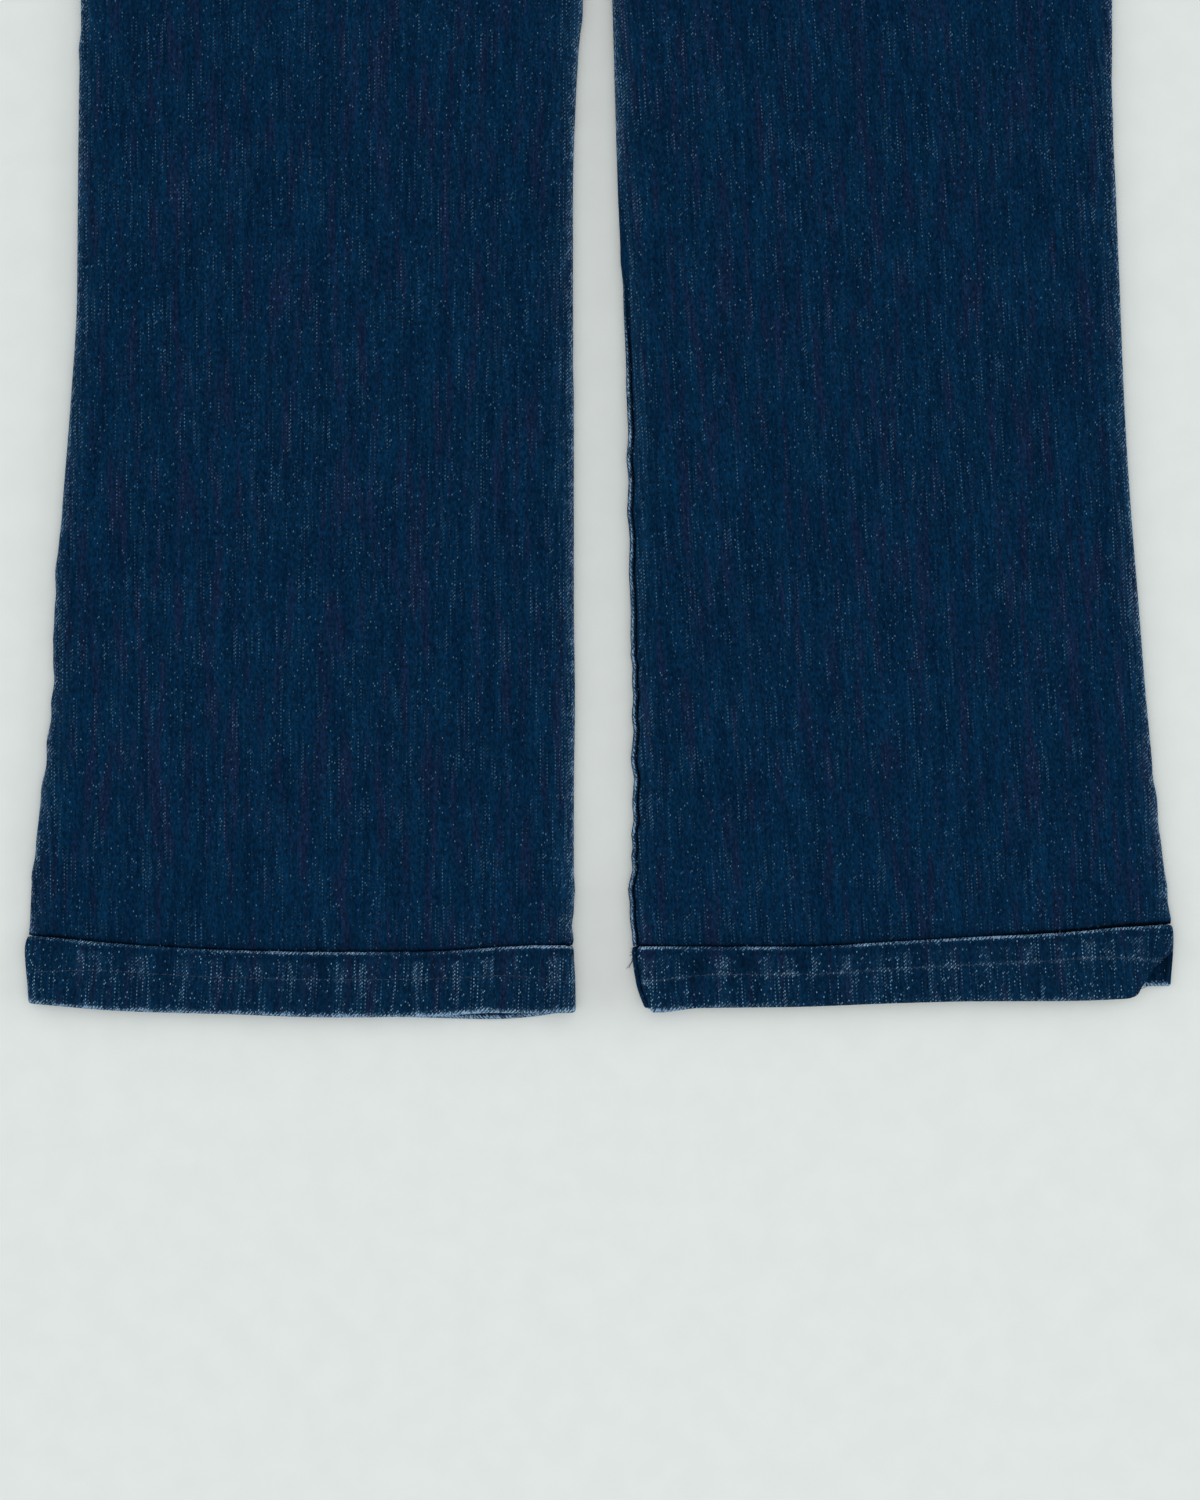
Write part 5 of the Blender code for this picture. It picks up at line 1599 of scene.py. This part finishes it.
class JeansCloth(bpy.types.PropertyGroup):
    cloth_wall: length("Cloth", "Thickness of the denim", 0.0012, 0.0006)
    doubled_wall: length("Doubled cloth", "Thickness of the bands", 0.0022, 0.001)
    grid: length("Grid", "Spacing of the points on the legs", 0.0026, 0.001)
    fold_steps: bpy.props.IntProperty(
        name="Fold steps", description="Steps round a folded edge", default=6, min=2, max=12
    )
    crease_depth: amount("Creases", "Depth of the soft folds", 1.0)
    ripple_depth: amount("Edge waves", "Depth of the waves in the side edges", 1.0)
    pucker_depth: length("Puckers", "Height of the highest hem pucker", 0.0006, 0.0)
    lean: bpy.props.FloatProperty(
        name="Lean",
        description="How far the left leg's threads lean, in degrees",
        default=4.0,
        min=-20.0,
        max=20.0,
    )


class JeansFinish(bpy.types.PropertyGroup):
    indigo: colour("Indigo", "Darkest warp yarn", (0.0007, 0.0126, 0.0378))
    bright_indigo: colour("Bright indigo", "Brightest warp yarn", (0.0011, 0.0180, 0.0500))
    brown: colour("Brown yarn", "Yarn with a brown cast", (0.0060, 0.0122, 0.0400))
    brown_amount: amount("Brown amount", "How much the brown yarn shows", 0.7, 1.0)
    weft: colour("Weft", "Pale yarn that shows as flecks", (0.225, 0.43, 0.63))
    worn: colour("Worn cloth", "Cloth whose indigo is rubbed off", (0.30, 0.46, 0.65))
    faded: colour("Faded cloth", "Haze of fine wear", (0.14, 0.37, 0.60))
    fleck_amount: amount("Flecks", "How much the weft flecks show", 0.39)
    thread: colour("Thread", "Sewing thread", (0.036, 0.050, 0.090))
    brass: colour("Brass", "Button metal", (0.42, 0.30, 0.16))


class JeansStage(bpy.types.PropertyGroup):
    surface: colour("Surface", "Colour under the jeans", (0.78, 0.815, 0.80))
    sky: strength("Sky", "Strength of the even light from all round", 0.76)
    window: strength("Window", "Power of the large soft light at the right", 52.0)
    second_window: strength("Second window", "Power of the large soft light at the left", 38.0)
    fill: strength("Fill", "Power of the soft light at the hems' end", 4.2)
    distance: length("Camera distance", "Height of the camera over the jeans", 1.5, 0.3)


class JEANS_OT_leg_panels(bpy.types.Operator):
    """Cut the front and back panels of both legs"""

    bl_idname = "jeans.leg_panels"
    bl_label = "Leg panels"

    def execute(self, context):
        for leg in LEGS:
            make_front_panel(leg)
            make_back_panel(leg)
        return {"FINISHED"}


class JEANS_OT_hem_bands(bpy.types.Operator):
    """Fold the puckered bands at the hems"""

    bl_idname = "jeans.hem_bands"
    bl_label = "Hem bands"

    def execute(self, context):
        for leg in LEGS:
            for layer in (BAND_FRONT, BAND_BACK):
                make_hem_band(leg, layer)
        return {"FINISHED"}


class JEANS_OT_hip_pieces(bpy.types.Operator):
    """Cut the hip pieces, yokes and patch pockets"""

    bl_idname = "jeans.hip_pieces"
    bl_label = "Hip pieces, yokes and pockets"

    def execute(self, context):
        for leg in LEGS:
            make_side_panel(leg)
            make_yoke(leg)
            make_back_pocket(leg)
        return {"FINISHED"}


class JEANS_OT_waistband(bpy.types.Operator):
    """Fold the waistband and its belt loops"""

    bl_idname = "jeans.waistband"
    bl_label = "Waistband and loops"

    def execute(self, context):
        make_waistband()
        for leg in LEGS:
            make_belt_loop(leg.name, leg, leg.side * LOOP_FRONT, WAISTBAND_FRONT)
            make_belt_loop(leg.name, leg, leg.side * LOOP_BACK, WAISTBAND_BACK)
        make_belt_loop("middle", LEFT, 0.0, WAISTBAND_BACK)
        return {"FINISHED"}


class JEANS_OT_stitching(bpy.types.Operator):
    """Sew every stitch line in thread of the cloth's own tone"""

    bl_idname = "jeans.stitching"
    bl_label = "Stitching"

    def execute(self, context):
        sew("hem_stitches", hem_lines(RIGHT) + hem_lines(LEFT), Stitch(thickness=0.0004))
        sew("waistband_stitches", waistband_lines(RIGHT) + waistband_lines(LEFT))
        sew("front_pocket_stitches", scoop_lines(RIGHT) + scoop_lines(LEFT))
        sew("fly_stitches", fly_lines())
        sew("yoke_and_seat_stitches", back_lines(RIGHT) + back_lines(LEFT))
        sew("patch_pocket_stitches", pocket_lines(RIGHT) + pocket_lines(LEFT), Stitch(thickness=0.00044))
        sew("loop_tacks", loop_tacks(), TACK)
        return {"FINISHED"}


class JEANS_OT_loose_threads(bpy.types.Operator):
    """Leave the frayed threads at the corners of the hems"""

    bl_idname = "jeans.loose_threads"
    bl_label = "Loose threads"

    def execute(self, context):
        join("loose_threads", [loose_thread(strand) for strand in STRANDS])
        return {"FINISHED"}


class JEANS_OT_button(bpy.types.Operator):
    """Turn the shank button: a disc with a raised rim and a shallow dished middle"""

    bl_idname = "jeans.button"
    bl_label = "Button"

    def execute(self, context):
        make_button()
        return {"FINISHED"}


class JEANS_OT_stage(bpy.types.Operator):
    """Set the surface, the soft lights and the camera that looks straight down"""

    bl_idname = "jeans.stage"
    bl_label = "Stage"

    def execute(self, context):
        stage = context.scene.jeans_stage
        lay_surface()
        set_even_light(stage)
        for light in LIGHTS:
            add_light(light, stage)
        set_camera(stage)
        context.scene.view_settings.view_transform = "Standard"
        return {"FINISHED"}


class JEANS_PT_panel(bpy.types.Panel):
    """Sizes, colours and steps of the jeans"""

    bl_idname = "JEANS_PT_panel"
    bl_label = "Bootcut jeans"
    bl_space_type = "VIEW_3D"
    bl_region_type = "UI"
    bl_category = "Jeans"

    def draw(self, context):
        for group in (context.scene.jeans_cloth, context.scene.jeans_finish, context.scene.jeans_stage):
            box = self.layout.box()
            for name in group.__annotations__:
                box.prop(group, name)
        for operator in OPERATORS:
            self.layout.operator(operator.bl_idname)


GROUPS = (JeansCloth, JeansFinish, JeansStage)
OPERATORS = (
    JEANS_OT_stage,
    JEANS_OT_leg_panels,
    JEANS_OT_hem_bands,
    JEANS_OT_hip_pieces,
    JEANS_OT_waistband,
    JEANS_OT_stitching,
    JEANS_OT_loose_threads,
    JEANS_OT_button,
)
CLASSES = (*GROUPS, *OPERATORS, JEANS_PT_panel)


def register():
    for item in CLASSES:
        bpy.utils.register_class(item)
    bpy.types.Scene.jeans_cloth = bpy.props.PointerProperty(type=JeansCloth)
    bpy.types.Scene.jeans_finish = bpy.props.PointerProperty(type=JeansFinish)
    bpy.types.Scene.jeans_stage = bpy.props.PointerProperty(type=JeansStage)


def unregister():
    del bpy.types.Scene.jeans_stage
    del bpy.types.Scene.jeans_finish
    del bpy.types.Scene.jeans_cloth
    for item in reversed(CLASSES):
        bpy.utils.unregister_class(item)


def main():
    register()
    bpy.ops.jeans.stage()
    bpy.ops.jeans.leg_panels()
    bpy.ops.jeans.hem_bands()
    bpy.ops.jeans.hip_pieces()
    bpy.ops.jeans.waistband()
    bpy.ops.jeans.stitching()
    bpy.ops.jeans.loose_threads()
    bpy.ops.jeans.button()


if __name__ == "__main__":
    main()
